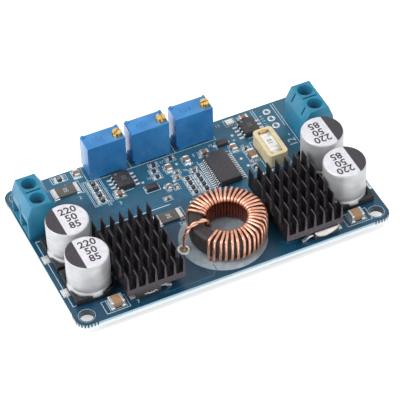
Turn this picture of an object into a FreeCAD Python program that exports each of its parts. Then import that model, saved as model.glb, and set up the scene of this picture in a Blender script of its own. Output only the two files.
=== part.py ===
import FreeCAD, Part
import Sketcher
import math
import os
import re

# Buck-boost converter module, a bare circuit board with its parts soldered on.
# Millimetres. The origin is the centre of the four mounting holes on the underside of the board.
# X runs along the long side, Y from the front edge to the trimmer row, Z up through the board.

# Driving dimensions, as alias, size and what it is
SIZES = (
    ("board_length", 77.6, "circuit board, long side"),
    ("board_width", 46.5, "circuit board, short side"),
    ("board_thickness", 1.6, "circuit board laminate"),
    ("board_corner", 2.6, "radius of the board corners"),
    ("mounting_hole", 3.3, "diameter of a mounting hole"),
    ("mounting_inset", 2.85, "mounting hole centre from both edges"),
    ("header_hole", 1.0, "drilled holes of the output header"),
    ("header_inset", 10.5, "output header holes from the right edge"),
    ("header_setback", 5.15, "middle header hole from the back edge"),
    ("header_pitch", 2.6, "output header holes apart"),
    ("tail", 1.5, "pins and wire ends below the board"),
    ("fit", 0.1, "clearance between pieces that are fixed together"),
    ("running_fit", 0.05, "radial clearance round a turning screw"),

    ("pole_pitch", 5.08, "terminal block, one pole to the next"),
    ("terminal_depth", 7.5, "terminal block, wire wall to inner wall"),
    ("terminal_height", 10.0, "terminal block above the board"),
    ("terminal_setback", 0.3, "wire wall from the board edge"),
    ("terminal_row", 11.92, "middle of the terminal blocks from the back edge"),
    ("wire_bevel", 1.1, "depth of the bevel above the wire openings"),
    ("wire_shoulder", 6.9, "foot of the bevel above the wire openings"),
    ("inner_bevel", 1.65, "depth of the bevel on the inner wall"),
    ("inner_shoulder", 6.7, "foot of the bevel on the inner wall"),
    ("bore_setback", 3.5, "screw axis from the wire wall"),
    ("screw_head", 3.45, "diameter of a clamp screw head"),
    ("screw_head_height", 1.3, "height of a clamp screw head"),
    ("screw_head_seat", 5.9, "underside of the screw head above the board"),
    ("screw_shank", 2.4, "diameter of a clamp screw shank"),
    ("screw_slot", 0.6, "width and depth of the slot in a screw head"),
    ("relief_length", 3.6, "slot in the roof between the two poles"),
    ("relief_width", 0.45, "width of the slot between the poles"),
    ("relief_depth", 1.5, "depth of the slot between the poles"),
    ("rib_width", 0.35, "groove on the inner bevel at each pole"),
    ("rib_foot", 7.5, "foot of the groove on the inner bevel"),
    ("frame_width", 4.0, "clamp frame across the pole"),
    ("frame_depth", 3.6, "clamp frame along the wire"),
    ("frame_floor", 0.8, "underside of the clamp frame above the board"),
    ("frame_wall", 0.7, "sheet thickness of the clamp frame"),
    ("wire_room", 2.4, "free height inside the clamp frame"),
    ("terminal_pin", 1.0, "square pin under the clamp frame"),
    ("leaf_thickness", 0.4, "pressure leaf over the wire"),
    ("leaf_rest", 1.15, "leaf above the floor of the clamp frame, half open"),
    ("slot_step", 20, "slot of a clamp screw, degrees on from the one before"),

    ("can_diameter", 10.0, "electrolytic capacitor can"),
    ("can_height", 9.7, "can from its foot to its top"),
    ("can_rim", 1.4, "height of the flared rim at the foot"),
    ("can_groove", 0.45, "depth of the groove above the rim"),
    ("can_bevel", 0.4, "rounded edge of the can top"),
    ("can_inset_left", 7.05, "left cans from the left edge"),
    ("can_inset_right", 6.8, "right cans from the right edge"),
    ("can_front", 11.2, "front cans from the front edge"),
    ("can_spacing", 11.25, "front can to back can"),
    ("base_side", 10.3, "square base under a can"),
    ("base_height", 1.7, "corner posts of the base"),
    ("base_floor", 0.6, "base plate under the can"),
    ("base_corner", 2.2, "cut-off corners on the marked side of the base"),
    ("solder_tab", 0.2, "thickness of the solder tabs"),
    ("solder_tab_width", 2.2, "width of the solder tabs"),
    ("tab_reach_out", 1.5, "solder tab beyond the base, board edge side"),
    ("tab_reach_in", 1.3, "solder tab beyond the base, board middle side"),

    ("trimmer_length", 9.5, "trimmer along the board edge"),
    ("trimmer_depth", 4.8, "trimmer from front to back"),
    ("trimmer_height", 10.0, "trimmer with its feet"),
    ("trimmer_foot", 0.3, "height of the trimmer feet"),
    ("trimmer_foot_length", 1.3, "length of the trimmer feet"),
    ("trimmer_undercut", 0.45, "notch at the lower left of the trimmer"),
    ("trimmer_undercut_height", 1.5, "height of that notch"),
    ("trimmer_row", 5.3, "front face of the trimmers from the back edge"),
    ("trimmer_screw", 2.2, "diameter of the adjusting screw"),
    ("trimmer_screw_edge", 1.3, "screw axis from the right wall"),
    ("trimmer_screw_front", 1.75, "screw axis from the front wall"),
    ("trimmer_screw_rise", 1.2, "adjusting screw above the trimmer"),
    ("trimmer_bore", 3.0, "depth of the screw bore"),
    ("trimmer_slot", 0.5, "width of the screwdriver slot"),
    ("trimmer_slot_depth", 0.7, "depth of the screwdriver slot"),
    ("trimmer_nub", 0.45, "radius and height of the nubs at the back corners of the roof"),
    ("trimmer_pin", 0.5, "square trimmer pins"),
    ("trimmer_pin_pitch", 2.54, "trimmer pins apart"),

    ("sink_plate", 1.8, "heatsink base plate"),
    ("sink_length", 20.0, "heatsink along the fins"),
    ("fin_thickness", 0.75, "one heatsink fin"),
    ("fin_pitch", 2.25, "fin to fin"),
    ("fin_count", 7, "fins on a heatsink"),
    ("fin_height", 3.8, "fins above the base plate"),
    ("tooth_length", 2.5, "a fin between two cross cuts"),
    ("cut_width", 2.05, "a cross cut"),
    ("cut_count", 4, "cross cuts on a heatsink"),
    ("cut_remainder", 0.4, "fin left under a cross cut"),
    ("adhesive", 0.3, "thermal adhesive between transistor and heatsink"),
    ("adhesive_side", 5.0, "side of the pressed adhesive patch"),

    ("power_length", 6.1, "power transistor body along the leads"),
    ("power_width", 6.6, "power transistor body across the leads"),
    ("power_height", 2.3, "power transistor above the board"),
    ("power_tab", 0.5, "thickness of the metal tab"),
    ("power_tab_width", 5.3, "width of the metal tab"),
    ("power_tab_reach", 4.2, "end of the tab from the middle of the body"),
    ("power_tab_depth", 4.6, "tab let into the underside of the body"),
    ("power_lead_reach", 5.85, "lead tips from the middle of the body"),
    ("power_lead_width", 0.76, "width of a lead"),
    ("power_lead_pitch", 4.57, "lead to lead"),
    ("power_lead", 0.5, "thickness of a lead"),
    ("power_shoulder", 0.9, "straight stretch of a lead before its bend"),

    ("coil_x", 2.4, "inductor centre right of the board centre"),
    ("coil_front", 11.6, "inductor centre from the front edge"),
    ("core_outside", 17.4, "outer diameter of the ring core"),
    ("core_inside", 10.5, "inner diameter of the ring core"),
    ("core_height", 5.2, "height of the ring core"),
    ("core_round", 0.8, "rounded edges of the ring core"),
    ("wire_diameter", 0.7, "enamelled wire of the winding"),
    ("wire_gap", 0.06, "wire to core and wire to board"),
    ("strand_turns", 17, "turns of each of the two strands"),
    ("winding_start", 218, "angle of the first turn, degrees from X"),
    ("winding_sweep", 289, "angle that the winding covers"),
    ("lead_angle", 180, "direction of the lead over the core"),
    ("lead_pad_reach", 10.8, "lead pad from the inductor centre"),
    ("lead_spread", 0.84, "strand to strand in a lead"),
    ("lead_hole", 1.9, "drilled hole for both strands of the lead over the core"),
    ("solder_height", 0.9, "height of the solder round the pins"),
    ("solder_reach", 0.55, "solder beyond the side of its pin at the board"),
    ("solder_tip", 0.2, "solder beyond the side of its pin at the tip"),
    ("lead_solder", 1.5, "radius of the solder round a coil lead"),
    ("lead_solder_tip", 0.6, "flat end of the solder round a coil lead"),

    ("lead_sheet", 0.2, "thickness of the gull wing leads"),
    ("lead_exit", 0.8, "height where gull wing leads leave the body"),
    ("lead_foot", 0.7, "length of a gull wing foot"),
    ("draft", 7, "draft angle of moulded chip bodies"),
    ("controller_width", 5.3, "controller body across"),
    ("controller_length", 10.2, "controller body along its leads"),
    ("controller_height", 1.8, "controller body"),
    ("controller_span", 7.8, "controller over the lead tips"),
    ("controller_pitch", 0.65, "controller lead pitch"),
    ("controller_lead", 0.3, "width of a controller lead"),
    ("controller_side", 14, "leads on a side of the controller"),
    ("amplifier_width", 3.9, "eight lead chip body across"),
    ("amplifier_length", 4.9, "eight lead chip body along its leads"),
    ("amplifier_height", 1.45, "eight lead chip body"),
    ("amplifier_span", 6.0, "eight lead chip over the lead tips"),
    ("amplifier_pitch", 1.27, "eight lead chip lead pitch"),
    ("amplifier_lead", 0.42, "width of an eight lead chip lead"),
    ("amplifier_side", 4, "leads on a side of the eight lead chip"),
    ("chip_clearance", 0.1, "chip bodies above the board"),

    ("holder_width", 5.03, "fuse holder across"),
    ("holder_length", 9.73, "fuse holder along the fuse"),
    ("holder_height", 3.8, "fuse holder above the board"),
    ("holder_inset", 15.9, "middle of the fuse holder from the right edge"),
    ("holder_setback", 15.5, "middle of the fuse holder from the back edge"),
    ("fuse_side", 2.69, "square section of the fuse"),
    ("fuse_length", 6.1, "fuse over its caps"),
    ("fuse_cap", 1.3, "length of a fuse cap"),
    ("fuse_seat", 1.0, "underside of the fuse above the board"),
    ("clip_gap", 0.9, "room for the spring clip at each end of the fuse"),
    ("clip_sheet", 0.3, "sheet thickness of the spring clips"),

    ("shunt_length", 6.35, "sense resistor"),
    ("shunt_width", 3.2, "sense resistor"),
    ("shunt_height", 0.6, "sense resistor"),
    ("shunt_end", 0.9, "end cap of the sense resistor"),
    ("diode_length", 2.7, "small diode along its feet"),
    ("diode_width", 1.6, "small diode across"),
    ("diode_height", 1.0, "small diode above the board"),
    ("diode_foot", 0.5, "foot of a diode beyond its body"),
    ("light_length", 1.9, "status light"),
    ("light_width", 1.5, "status light"),
    ("light_height", 0.8, "status light"),
)

# Small chips by size class, as length, width, height and end cap
CHIP_CLASSES = (
    ("small_resistor", 1.6, 0.8, 0.45, 0.3),
    ("resistor", 2.0, 1.25, 0.5, 0.4),
    ("small_capacitor", 1.6, 0.8, 0.8, 0.35),
    ("capacitor", 2.0, 1.25, 1.0, 0.45),
    ("large_capacitor", 3.2, 1.6, 1.3, 0.55),
    ("input_capacitor", 3.2, 2.5, 1.6, 0.6),
)
CHIP_SIDES = ("length", "width", "height", "end")

# The four edges of the board, from its centre
EDGES = {
    "left": "(-board_length / 2)",
    "right": "(board_length / 2)",
    "front": "(-board_width / 2)",
    "back": "(board_width / 2)",
}

# Half the diagonal of a square pin for each millimetre of its side
CORNER = 0.7072

# Places of the small chips, as class, x, y and whether turned to lie along Y. Pieces that keep
# to an edge of the board are placed from that edge, the others from the board centre.
CHIP_RESISTORS = (
    ("resistor", "left + 13.7", "back - 1.6", False),
    ("resistor", "-18.7", "back - 12.3", False),
    ("resistor", "-18.7", "back - 10.4", False),
    ("resistor", "-18.7", "back - 8.5", False),
    ("resistor", "-18.7", "back - 6.5", False),
    ("small_resistor", "1.8", "back - 19.5", False),
    ("small_resistor", "1.8", "back - 17.9", False),
    ("small_resistor", "1.8", "back - 16.3", False),
    ("small_resistor", "1.8", "back - 14.7", False),
    ("small_resistor", "4.5", "back - 19.5", False),
    ("small_resistor", "4.5", "back - 17.9", False),
    ("small_resistor", "4.5", "back - 16.3", False),
    ("small_resistor", "4.5", "back - 14.7", False),
    ("small_resistor", "-4.2", "back - 9", False),
    ("small_resistor", "-4.2", "back - 11", False),
)
CHIP_CAPACITORS = (
    ("input_capacitor", "left + 10.2", "front + 3.4", False),
    ("input_capacitor", "right - 7.7", "front + 3.5", False),
    ("capacitor", "-20.8", "back - 1.9", True),
    ("capacitor", "-14.4", "back - 12.5", False),
    ("capacitor", "-0.8", "back - 9.8", True),
    ("capacitor", "4.1", "back - 9.2", True),
    ("capacitor", "8.8", "back - 8.8", False),
    ("capacitor", "15.8", "back - 10.4", True),
    ("large_capacitor", "right - 20.2", "back - 14.7", True),
    ("small_capacitor", "-3.2", "back - 15.5", True),
    ("small_capacitor", "4.3", "back - 12.8", False),
    ("capacitor", "right - 16.6", "back - 2.2", False),
)
SHUNTS = (("left + 13.65", "back - 6"), ("-7.3", "front + 22.2"))
DIODES = (("-6.8", "back - 13.9"), ("14", "back - 7.9"))
AMPLIFIERS = (("-12", "back - 9.1"), ("right - 16.9", "back - 6.1"))
CONTROLLER = ("10.3", "back - 15.9")
STATUS_LIGHT = ("right - 20.1", "back - 2")

# Left walls of the three trimmers from the board centre, and the angle of each screw slot
TRIMMERS = ((-18.8, 35), (-7.7, 80), (3.55, 5))

# Left and right heatsink: middle of the plate, then the middles of its two transistors
HEATSINKS = {
    "left": ("left + 19.35", "front + 11.65",
             (("left + 17.55", "front + 5.4"), ("left + 17.55", "front + 15.8"))),
    "right": ("right - 19.45", "front + 10.95",
              (("right - 16.5", "front + 4.05"), ("right - 16.5", "front + 15.2"))),
}

document = FreeCAD.newDocument("Converter")
sheet = document.addObject("Spreadsheet::Sheet", "Sizes")
ROWS = list(SIZES)
for kind, *sizes in CHIP_CLASSES:
    ROWS += [(f"{kind}_{side}", size, "small chip") for side, size in zip(CHIP_SIDES, sizes)]
for row, (alias, size, note) in enumerate(ROWS, start=1):
    sheet.set(f"A{row}", note)
    sheet.set(f"B{row}", str(size))
    sheet.setAlias(f"B{row}", alias)
document.recompute()
ALIASES = {alias for alias, size, note in ROWS}


def formula(words):
    """An expression that reads the sheet wherever the words name one of its sizes or an edge."""
    def cell(found):
        return "Sizes." + found.group() if found.group() in ALIASES else found.group()
    for edge, distance in EDGES.items():
        words = re.sub(rf"\b{edge}\b", distance, str(words))
    return re.sub(r"[a-z][a-z_]*", cell, words)


def value(words):
    return float(sheet.evalExpression(formula(words)))


def bind(made, field, words):
    made.setExpression(field, formula(words))


def place(made, x, y, z, turn=0):
    """Set a piece at sizes from the sheet, turned about Z by a fixed angle in degrees."""
    made.Placement = FreeCAD.Placement(FreeCAD.Vector(), FreeCAD.Rotation(turn, 0, 0))
    for axis, words in zip("xyz", (x, y, z)):
        bind(made, f"Placement.Base.{axis}", words)
    return made


def new_body(label):
    body = document.addObject("PartDesign::Body", "Body")
    body.Label = label
    return body


def sketch_on(body, role, lift="0"):
    """A sketch on one of the body's own planes, raised along the plane's normal."""
    drawn = body.newObject("Sketcher::SketchObject", "Sketch")
    plane = next(feature for feature in body.Origin.OriginFeatures if feature.Role == role)
    drawn.AttachmentSupport = [(plane, "")]
    drawn.MapMode = "FlatFace"
    bind(drawn, "AttachmentOffset.Base.z", lift)
    return drawn


def outline(drawn, points):
    """A closed run of straight sides whose corners are held at sizes from the sheet."""
    corners = [FreeCAD.Vector(value(across), value(along), 0) for across, along in points]
    first = drawn.GeometryCount
    for index, corner in enumerate(corners):
        drawn.addGeometry(Part.LineSegment(corner, corners[(index + 1) % len(corners)]), False)
    for index, (across, along) in enumerate(points):
        side = first + index
        following = first + (index + 1) % len(points)
        drawn.addConstraint(Sketcher.Constraint("Coincident", side, 2, following, 1))
        for kind, words, size in (("DistanceX", across, corners[index].x),
                                  ("DistanceY", along, corners[index].y)):
            held = drawn.addConstraint(Sketcher.Constraint(kind, -1, 1, side, 1, size))
            bind(drawn, f"Constraints[{held}]", words)


def rectangle(drawn, across, along, width, length):
    """A rectangle given by its middle and its two sides."""
    left = f"({across}) - ({width}) / 2"
    right = f"({across}) + ({width}) / 2"
    near = f"({along}) - ({length}) / 2"
    far = f"({along}) + ({length}) / 2"
    outline(drawn, ((left, near), (right, near), (right, far), (left, far)))


def circle(drawn, across, along, radius):
    centre = FreeCAD.Vector(value(across), value(along), 0)
    made = drawn.addGeometry(Part.Circle(centre, FreeCAD.Vector(0, 0, 1), value(radius)), False)
    for kind, words, size in (("DistanceX", across, centre.x), ("DistanceY", along, centre.y)):
        held = drawn.addConstraint(Sketcher.Constraint(kind, -1, 1, made, 3, size))
        bind(drawn, f"Constraints[{held}]", words)
    held = drawn.addConstraint(Sketcher.Constraint("Radius", made, value(radius)))
    bind(drawn, f"Constraints[{held}]", radius)


def polygon(drawn, across, along, radius, sides=6):
    """A regular polygon given by its middle and the circle through its corners."""
    outline(drawn, [(f"({across}) + ({radius}) * cos({360 * side / sides})",
                     f"({along}) + ({radius}) * sin({360 * side / sides})") for side in range(sides)])


def pad(body, drawn, length, backwards=False, middle=False):
    made = body.newObject("PartDesign::Pad", "Pad")
    made.Profile = drawn
    bind(made, "Length", length)
    made.Reversed = backwards
    if middle:
        made.SideType = "Symmetric"
    return made


def pocket(body, drawn, depth, backwards=False):
    """Cut a sketch out of the body, and make sure that material really went."""
    document.recompute()
    before = body.Shape.Volume
    made = body.newObject("PartDesign::Pocket", "Pocket")
    made.Profile = drawn
    bind(made, "Length", depth)
    made.Reversed = backwards
    document.recompute()
    if body.Shape.Volume > before - 1e-6:
        raise RuntimeError(body.Label + ": a pocket cut nothing")
    return made


def row_of(body, feature, direction, pitch, count):
    """Repeat a feature along one of the body's own axes."""
    made = body.newObject("PartDesign::LinearPattern", "Row")
    made.Originals = [feature]
    axis = next(found for found in body.Origin.OriginFeatures if found.Role == direction)
    made.Direction = (axis, [""])
    made.Mode = "Spacing"
    bind(made, "Offset", pitch)
    bind(made, "Occurrences", count)
    body.Tip = made
    return made


def block(length, width, height, x, y, z):
    """A box given by its middle in X and Y and by its underside."""
    made = document.addObject("Part::Box", "Block")
    for side, words in (("Length", length), ("Width", width), ("Height", height)):
        bind(made, side, words)
    return place(made, f"({x}) - ({length}) / 2", f"({y}) - ({width}) / 2", z)


def group(label, pieces):
    """Separate solids of one kind that share a node."""
    made = document.addObject("Part::Compound", "Group")
    made.Label = label
    made.Links = pieces
    return made


def moulded(label, length, width, height):
    """A moulded chip body with drafted sides, widest at half its height."""
    body = new_body(label)
    drawn = sketch_on(body, "XY_Plane", f"({height}) / 2")
    rectangle(drawn, "0", "0", length, width)
    made = body.newObject("PartDesign::Pad", "Pad")
    made.Profile = drawn
    made.SideType = "Two sides"
    for side in ("Length", "Length2"):
        bind(made, side, f"({height}) / 2")
    for side in ("TaperAngle", "TaperAngle2"):
        bind(made, side, "-draft")
    return body


def gull_wings(label, body_width, span, exit_height, sheet_metal, lead_width, pitch, count,
               shoulder=None):
    """One row of gull wing leads along Y, on the +X side of a chip."""
    body = new_body(label)
    wall = f"({body_width}) / 2"
    tip = f"({span}) / 2"
    heel = f"({span}) / 2 - lead_foot"
    under = [(wall, exit_height)]
    over = [(wall, f"{exit_height} + {sheet_metal}")]
    if shoulder:
        under.append((f"{wall} + {shoulder}", exit_height))
        over.insert(0, (f"{wall} + {shoulder} + {sheet_metal} / 2", f"{exit_height} + {sheet_metal}"))
    drawn = sketch_on(body, "XZ_Plane", f"{pitch} * ({count} - 1) / 2")
    outline(drawn, under + [(heel, "0"), (tip, "0"), (tip, sheet_metal),
                            (f"{heel} + {sheet_metal} / 2", sheet_metal)] + over)
    lead = pad(body, drawn, lead_width, middle=True)
    row_of(body, lead, "Y_Axis", pitch, count)
    return body


def make_board():
    body = new_body("circuit_board")
    drawn = sketch_on(body, "XY_Plane")
    rectangle(drawn, "0", "0", "board_length", "board_width")
    slab = pad(body, drawn, "board_thickness")
    document.recompute()
    upright = [f"Edge{index}" for index, edge in enumerate(slab.Shape.Edges, start=1)
               if abs(edge.tangentAt(edge.FirstParameter).z) > 0.99]
    corners = body.newObject("PartDesign::Fillet", "Corners")
    corners.Base = (slab, upright)
    bind(corners, "Radius", "board_corner")

    drilled = sketch_on(body, "XY_Plane", "board_thickness")
    for across in (-1, 1):
        for along in (-1, 1):
            circle(drilled, f"{across} * (board_length / 2 - mounting_inset)",
                   f"{along} * (board_width / 2 - mounting_inset)", "mounting_hole / 2")
    for step in (-1, 0, 1):
        polygon(drilled, "right - header_inset", f"back - header_setback + {step} * header_pitch",
                "header_hole / 2 / cos(22.5)", sides=8)
    for side in (-1, 1):
        for pole in (-1, 1):
            across = f"{side} * (board_length / 2 - terminal_setback - bore_setback)"
            polygon(drilled, across, f"back - terminal_row + {pole} * pole_pitch / 2",
                    f"terminal_pin * {CORNER} / cos(30) + fit")
    for left_wall, slot_angle in TRIMMERS:
        for step in (-1, 0, 1):
            polygon(drilled, f"{left_wall} + trimmer_length / 2 + {step} * trimmer_pin_pitch",
                    "back - trimmer_row + trimmer_depth / 2", f"trimmer_pin * {CORNER} / cos(30) + fit")
    for x, y, radius in coil_holes():
        polygon(drilled, x, y, radius)
    pocket(body, drilled, "board_thickness")


def round_coil(reach, angle):
    """A place on the board at a distance and an angle from the middle of the inductor."""
    return f"coil_x + {reach} * cos({angle})", f"front + coil_front + {reach} * sin({angle})"


STRAND_STEP = "winding_sweep / (2 * strand_turns - 0.5)"
OUTER_REACH = "(core_outside / 2 + wire_gap + wire_diameter / 2)"


def coil_holes():
    """Holes for the lead over the core and for the two strands at the start of the winding."""
    return (
        (*round_coil("lead_pad_reach", "lead_angle"), "lead_hole / 2"),
        (*round_coil(OUTER_REACH, "winding_start"), "wire_diameter / 2 + 2 * fit"),
        (*round_coil(OUTER_REACH, f"(winding_start + {STRAND_STEP})"), "wire_diameter / 2 + 2 * fit"),
    )


def make_terminal(side, turn):
    """Housing of a two pole terminal block, wire wall at local X zero."""
    body = new_body(f"terminal_housing_{side}")
    profile = sketch_on(body, "XZ_Plane")
    outline(profile, (
        ("0", "0"),
        ("terminal_depth", "0"),
        ("terminal_depth", "inner_shoulder"),
        ("terminal_depth - inner_bevel", "terminal_height"),
        ("wire_bevel", "terminal_height"),
        ("0", "wire_shoulder"),
    ))
    pad(body, profile, "2 * pole_pitch", middle=True)

    frame_top = "(frame_floor + 2 * frame_wall + wire_room)"
    mouths = sketch_on(body, "YZ_Plane")
    bores = sketch_on(body, "XY_Plane", "terminal_height")
    grooves = sketch_on(body, "XY_Plane", "terminal_height")
    pin_holes = sketch_on(body, "XY_Plane")
    for pole in (-1, 1):
        axis = f"{pole} * pole_pitch / 2"
        rectangle(mouths, axis, f"(frame_floor + {frame_top}) / 2", "frame_width + 2 * fit",
                  f"{frame_top} - frame_floor + 2 * fit")
        circle(bores, "bore_setback", axis, "screw_head / 2 + 1.5 * running_fit")
        rectangle(grooves, "terminal_depth - inner_bevel / 2", axis, "inner_bevel", "rib_width")
        rectangle(pin_holes, "bore_setback", axis, "terminal_pin + 2 * fit", "terminal_pin + 2 * fit")
    pocket(body, mouths, "bore_setback + frame_depth / 2 + fit", backwards=True)
    pocket(body, bores, f"terminal_height - {frame_top}")
    pocket(body, grooves, "terminal_height - rib_foot")
    pocket(body, pin_holes, "frame_floor", backwards=True)
    relief = sketch_on(body, "XY_Plane", "terminal_height")
    rectangle(relief, "bore_setback", "0", "relief_length", "relief_width")
    pocket(body, relief, "relief_depth")
    edge = "(board_length / 2 - terminal_setback)"
    across = f"-{edge}" if side == "left" else edge
    place(body, across, "back - terminal_row", "board_thickness", turn)


def make_clamp(number, across, along):
    """Frame, pressure leaf and screw of one wire clamp."""
    top = "(frame_floor + 2 * frame_wall + wire_room)"
    frame = new_body(f"terminal_frame_{number}")
    section = sketch_on(frame, "YZ_Plane")
    rectangle(section, "0", f"(frame_floor + {top}) / 2", "frame_width", f"{top} - frame_floor")
    rectangle(section, "0", "frame_floor + frame_wall + wire_room / 2",
              "frame_width - 2 * frame_wall", "wire_room")
    pad(frame, section, "frame_depth", middle=True)
    thread = sketch_on(frame, "XY_Plane", top)
    circle(thread, "0", "0", "screw_shank / 2 + running_fit")
    pocket(frame, thread, "frame_wall")
    pin = sketch_on(frame, "XY_Plane", "frame_floor")
    rectangle(pin, "0", "0", "terminal_pin", "terminal_pin")
    pad(frame, pin, "frame_floor + board_thickness + tail", backwards=True)
    place(frame, across, along, "board_thickness")

    leaf_under = "(frame_floor + frame_wall + leaf_rest)"
    leaf_top = f"({leaf_under} + leaf_thickness)"
    leaf = block("frame_depth - 4 * fit", "frame_width - 2 * frame_wall - 3 * fit", "leaf_thickness",
                 across, along, f"board_thickness + {leaf_under}")
    leaf.Label = f"clamp_leaf_{number}"

    screw = new_body(f"clamp_screw_{number}")
    shank = sketch_on(screw, "XY_Plane", leaf_top)
    circle(shank, "0", "0", "screw_shank / 2")
    pad(screw, shank, f"screw_head_seat - {leaf_top}")
    head = sketch_on(screw, "XY_Plane", "screw_head_seat")
    circle(head, "0", "0", "screw_head / 2")
    pad(screw, head, "screw_head_height")
    slot = sketch_on(screw, "XY_Plane", "screw_head_seat + screw_head_height")
    rectangle(slot, "0", "0", "screw_slot", "screw_head + fit")
    pocket(screw, slot, "screw_slot")
    place(screw, across, along, "board_thickness", value("slot_step") * number)


def make_capacitor(number, across, along, turn):
    """An electrolytic capacitor: rolled can on a square base with two solder tabs."""
    radius = "can_diameter / 2"
    throat = f"{radius} - can_groove"
    can = new_body(f"capacitor_can_{number}")
    half = sketch_on(can, "XZ_Plane")
    outline(half, (
        ("0", "0"),
        (radius, "0"),
        (throat, "can_rim + can_groove"),
        (radius, "can_rim + can_groove * 2"),
        (radius, "can_height - can_bevel"),
        (f"{radius} - can_bevel", "can_height"),
        ("0", "can_height"),
    ))
    turned = can.newObject("PartDesign::Revolution", "Turned")
    turned.Profile = half
    turned.ReferenceAxis = (half, ["V_Axis"])
    turned.Angle = 360
    place(can, across, along, "board_thickness + solder_tab + base_floor")

    base = new_body(f"capacitor_base_{number}")
    footprint = sketch_on(base, "XY_Plane")
    edge = "base_side / 2"
    cut = "base_side / 2 - base_corner"
    outline(footprint, (
        (f"-{edge}", f"-{edge}"), (cut, f"-{edge}"), (edge, f"-({cut})"), (edge, cut),
        (cut, edge), (f"-{edge}", edge),
    ))
    pad(base, footprint, "base_height")
    seat = sketch_on(base, "XY_Plane", "base_height")
    polygon(seat, "0", "0", "(can_diameter / 2 + 2 * fit) / cos(22.5)", sides=8)
    pocket(base, seat, "base_height - base_floor")
    place(base, across, along, "board_thickness + solder_tab", turn)

    outward = 1 if turn else -1
    return [
        block(f"{reach} + base_corner", "solder_tab_width", "solder_tab",
              f"{across} + {way} * (base_side / 2 + ({reach} - base_corner) / 2)", along,
              "board_thickness")
        for reach, way in (("tab_reach_out", outward), ("tab_reach_in", -outward))
    ]


def make_trimmer(number, left_wall, slot_angle):
    """A multiturn trimmer: box with feet, adjusting screw in its bore, three pins below."""
    body = new_body(f"trimmer_body_{number}")
    front = sketch_on(body, "XZ_Plane")
    outline(front, (
        ("trimmer_undercut", "0"),
        ("trimmer_undercut + trimmer_foot_length", "0"),
        ("trimmer_undercut + trimmer_foot_length", "trimmer_foot"),
        ("trimmer_length - trimmer_foot_length", "trimmer_foot"),
        ("trimmer_length - trimmer_foot_length", "0"),
        ("trimmer_length", "0"),
        ("trimmer_length", "trimmer_height"),
        ("0", "trimmer_height"),
        ("0", "trimmer_undercut_height"),
        ("trimmer_undercut", "trimmer_undercut_height"),
    ))
    pad(body, front, "trimmer_depth", backwards=True)
    nubs = sketch_on(body, "XY_Plane", "trimmer_height")
    for corner in ("1.2 * trimmer_nub", "trimmer_length - 1.2 * trimmer_nub"):
        polygon(nubs, corner, "trimmer_depth - 1.2 * trimmer_nub", "trimmer_nub")
    pad(body, nubs, "trimmer_nub")
    bore = sketch_on(body, "XY_Plane", "trimmer_height")
    circle(bore, "trimmer_length - trimmer_screw_edge", "trimmer_screw_front",
           "trimmer_screw / 2 + running_fit")
    pocket(body, bore, "trimmer_bore")
    place(body, str(left_wall), "back - trimmer_row", "board_thickness")

    screw = new_body(f"trimmer_screw_{number}")
    rod = sketch_on(screw, "XY_Plane")
    circle(rod, "0", "0", "trimmer_screw / 2")
    rod_length = "trimmer_bore - fit + trimmer_screw_rise"
    pad(screw, rod, rod_length)
    slot = sketch_on(screw, "XY_Plane", rod_length)
    rectangle(slot, "0", "0", "trimmer_screw + fit", "trimmer_slot")
    pocket(screw, slot, "trimmer_slot_depth")
    place(screw, f"{left_wall} + trimmer_length - trimmer_screw_edge",
          "back - trimmer_row + trimmer_screw_front",
          "board_thickness + trimmer_height - trimmer_bore + fit", slot_angle)

    return [
        block("trimmer_pin", "trimmer_pin", "trimmer_foot + board_thickness + tail",
              f"{left_wall} + trimmer_length / 2 + {step} * trimmer_pin_pitch",
              "back - trimmer_row + trimmer_depth / 2", "-tail")
        for step in (-1, 0, 1)
    ]


def make_heatsink(side, middle_x, middle_y, transistors):
    """A black finned heatsink stuck to two power transistors with thermal adhesive."""
    width = "((fin_count - 1) * fin_pitch + fin_thickness)"
    body = new_body(f"heatsink_{side}")
    plate = sketch_on(body, "XY_Plane")
    rectangle(plate, "0", "0", width, "sink_length")
    pad(body, plate, "sink_plate")
    fin = sketch_on(body, "XY_Plane", "sink_plate")
    rectangle(fin, f"-({width} - fin_thickness) / 2", "0", "fin_thickness", "sink_length")
    first_fin = pad(body, fin, "fin_height")
    row_of(body, first_fin, "X_Axis", "fin_pitch", "fin_count")
    cut = sketch_on(body, "XY_Plane", "sink_plate + fin_height")
    spacing = "(tooth_length + cut_width)"
    rectangle(cut, "0", f"-(cut_count - 1) * {spacing} / 2", f"{width} + fit", "cut_width")
    first_cut = pocket(body, cut, "fin_height - cut_remainder")
    row_of(body, first_cut, "Y_Axis", spacing, "cut_count")
    place(body, middle_x, middle_y, "board_thickness + power_height + adhesive")

    return [block("adhesive_side", "adhesive_side", "adhesive", x, y, "board_thickness + power_height")
            for x, y in transistors]


def make_transistor(number, x, y, turn):
    """A power transistor with its tab let into the underside, leads on the local +X side."""
    body = moulded(f"power_transistor_{number}", "power_length", "power_width", "power_height")
    recess = sketch_on(body, "XY_Plane")
    inner_end = "power_tab_depth - power_length / 2"
    rectangle(recess, f"({inner_end} - power_tab_reach) / 2", "0",
              f"{inner_end} + power_tab_reach", "power_tab_width")
    pocket(body, recess, "power_tab", backwards=True)
    place(body, x, y, "board_thickness", turn)

    tab = document.addObject("Part::Box", "Tab")
    bind(tab, "Length", f"{inner_end} + power_tab_reach")
    bind(tab, "Width", "power_tab_width")
    bind(tab, "Height", "power_tab")
    bind(tab, "Placement.Base.x", "-power_tab_reach")
    bind(tab, "Placement.Base.y", "-power_tab_width / 2")
    leads = gull_wings("Leads", "power_length", "2 * power_lead_reach",
                       "(power_height - power_lead) / 2", "power_lead", "power_lead_width",
                       "power_lead_pitch", "2", "power_shoulder")
    metal = group("Metal", [tab, leads])
    return place(metal, x, y, "board_thickness", turn)


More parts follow.
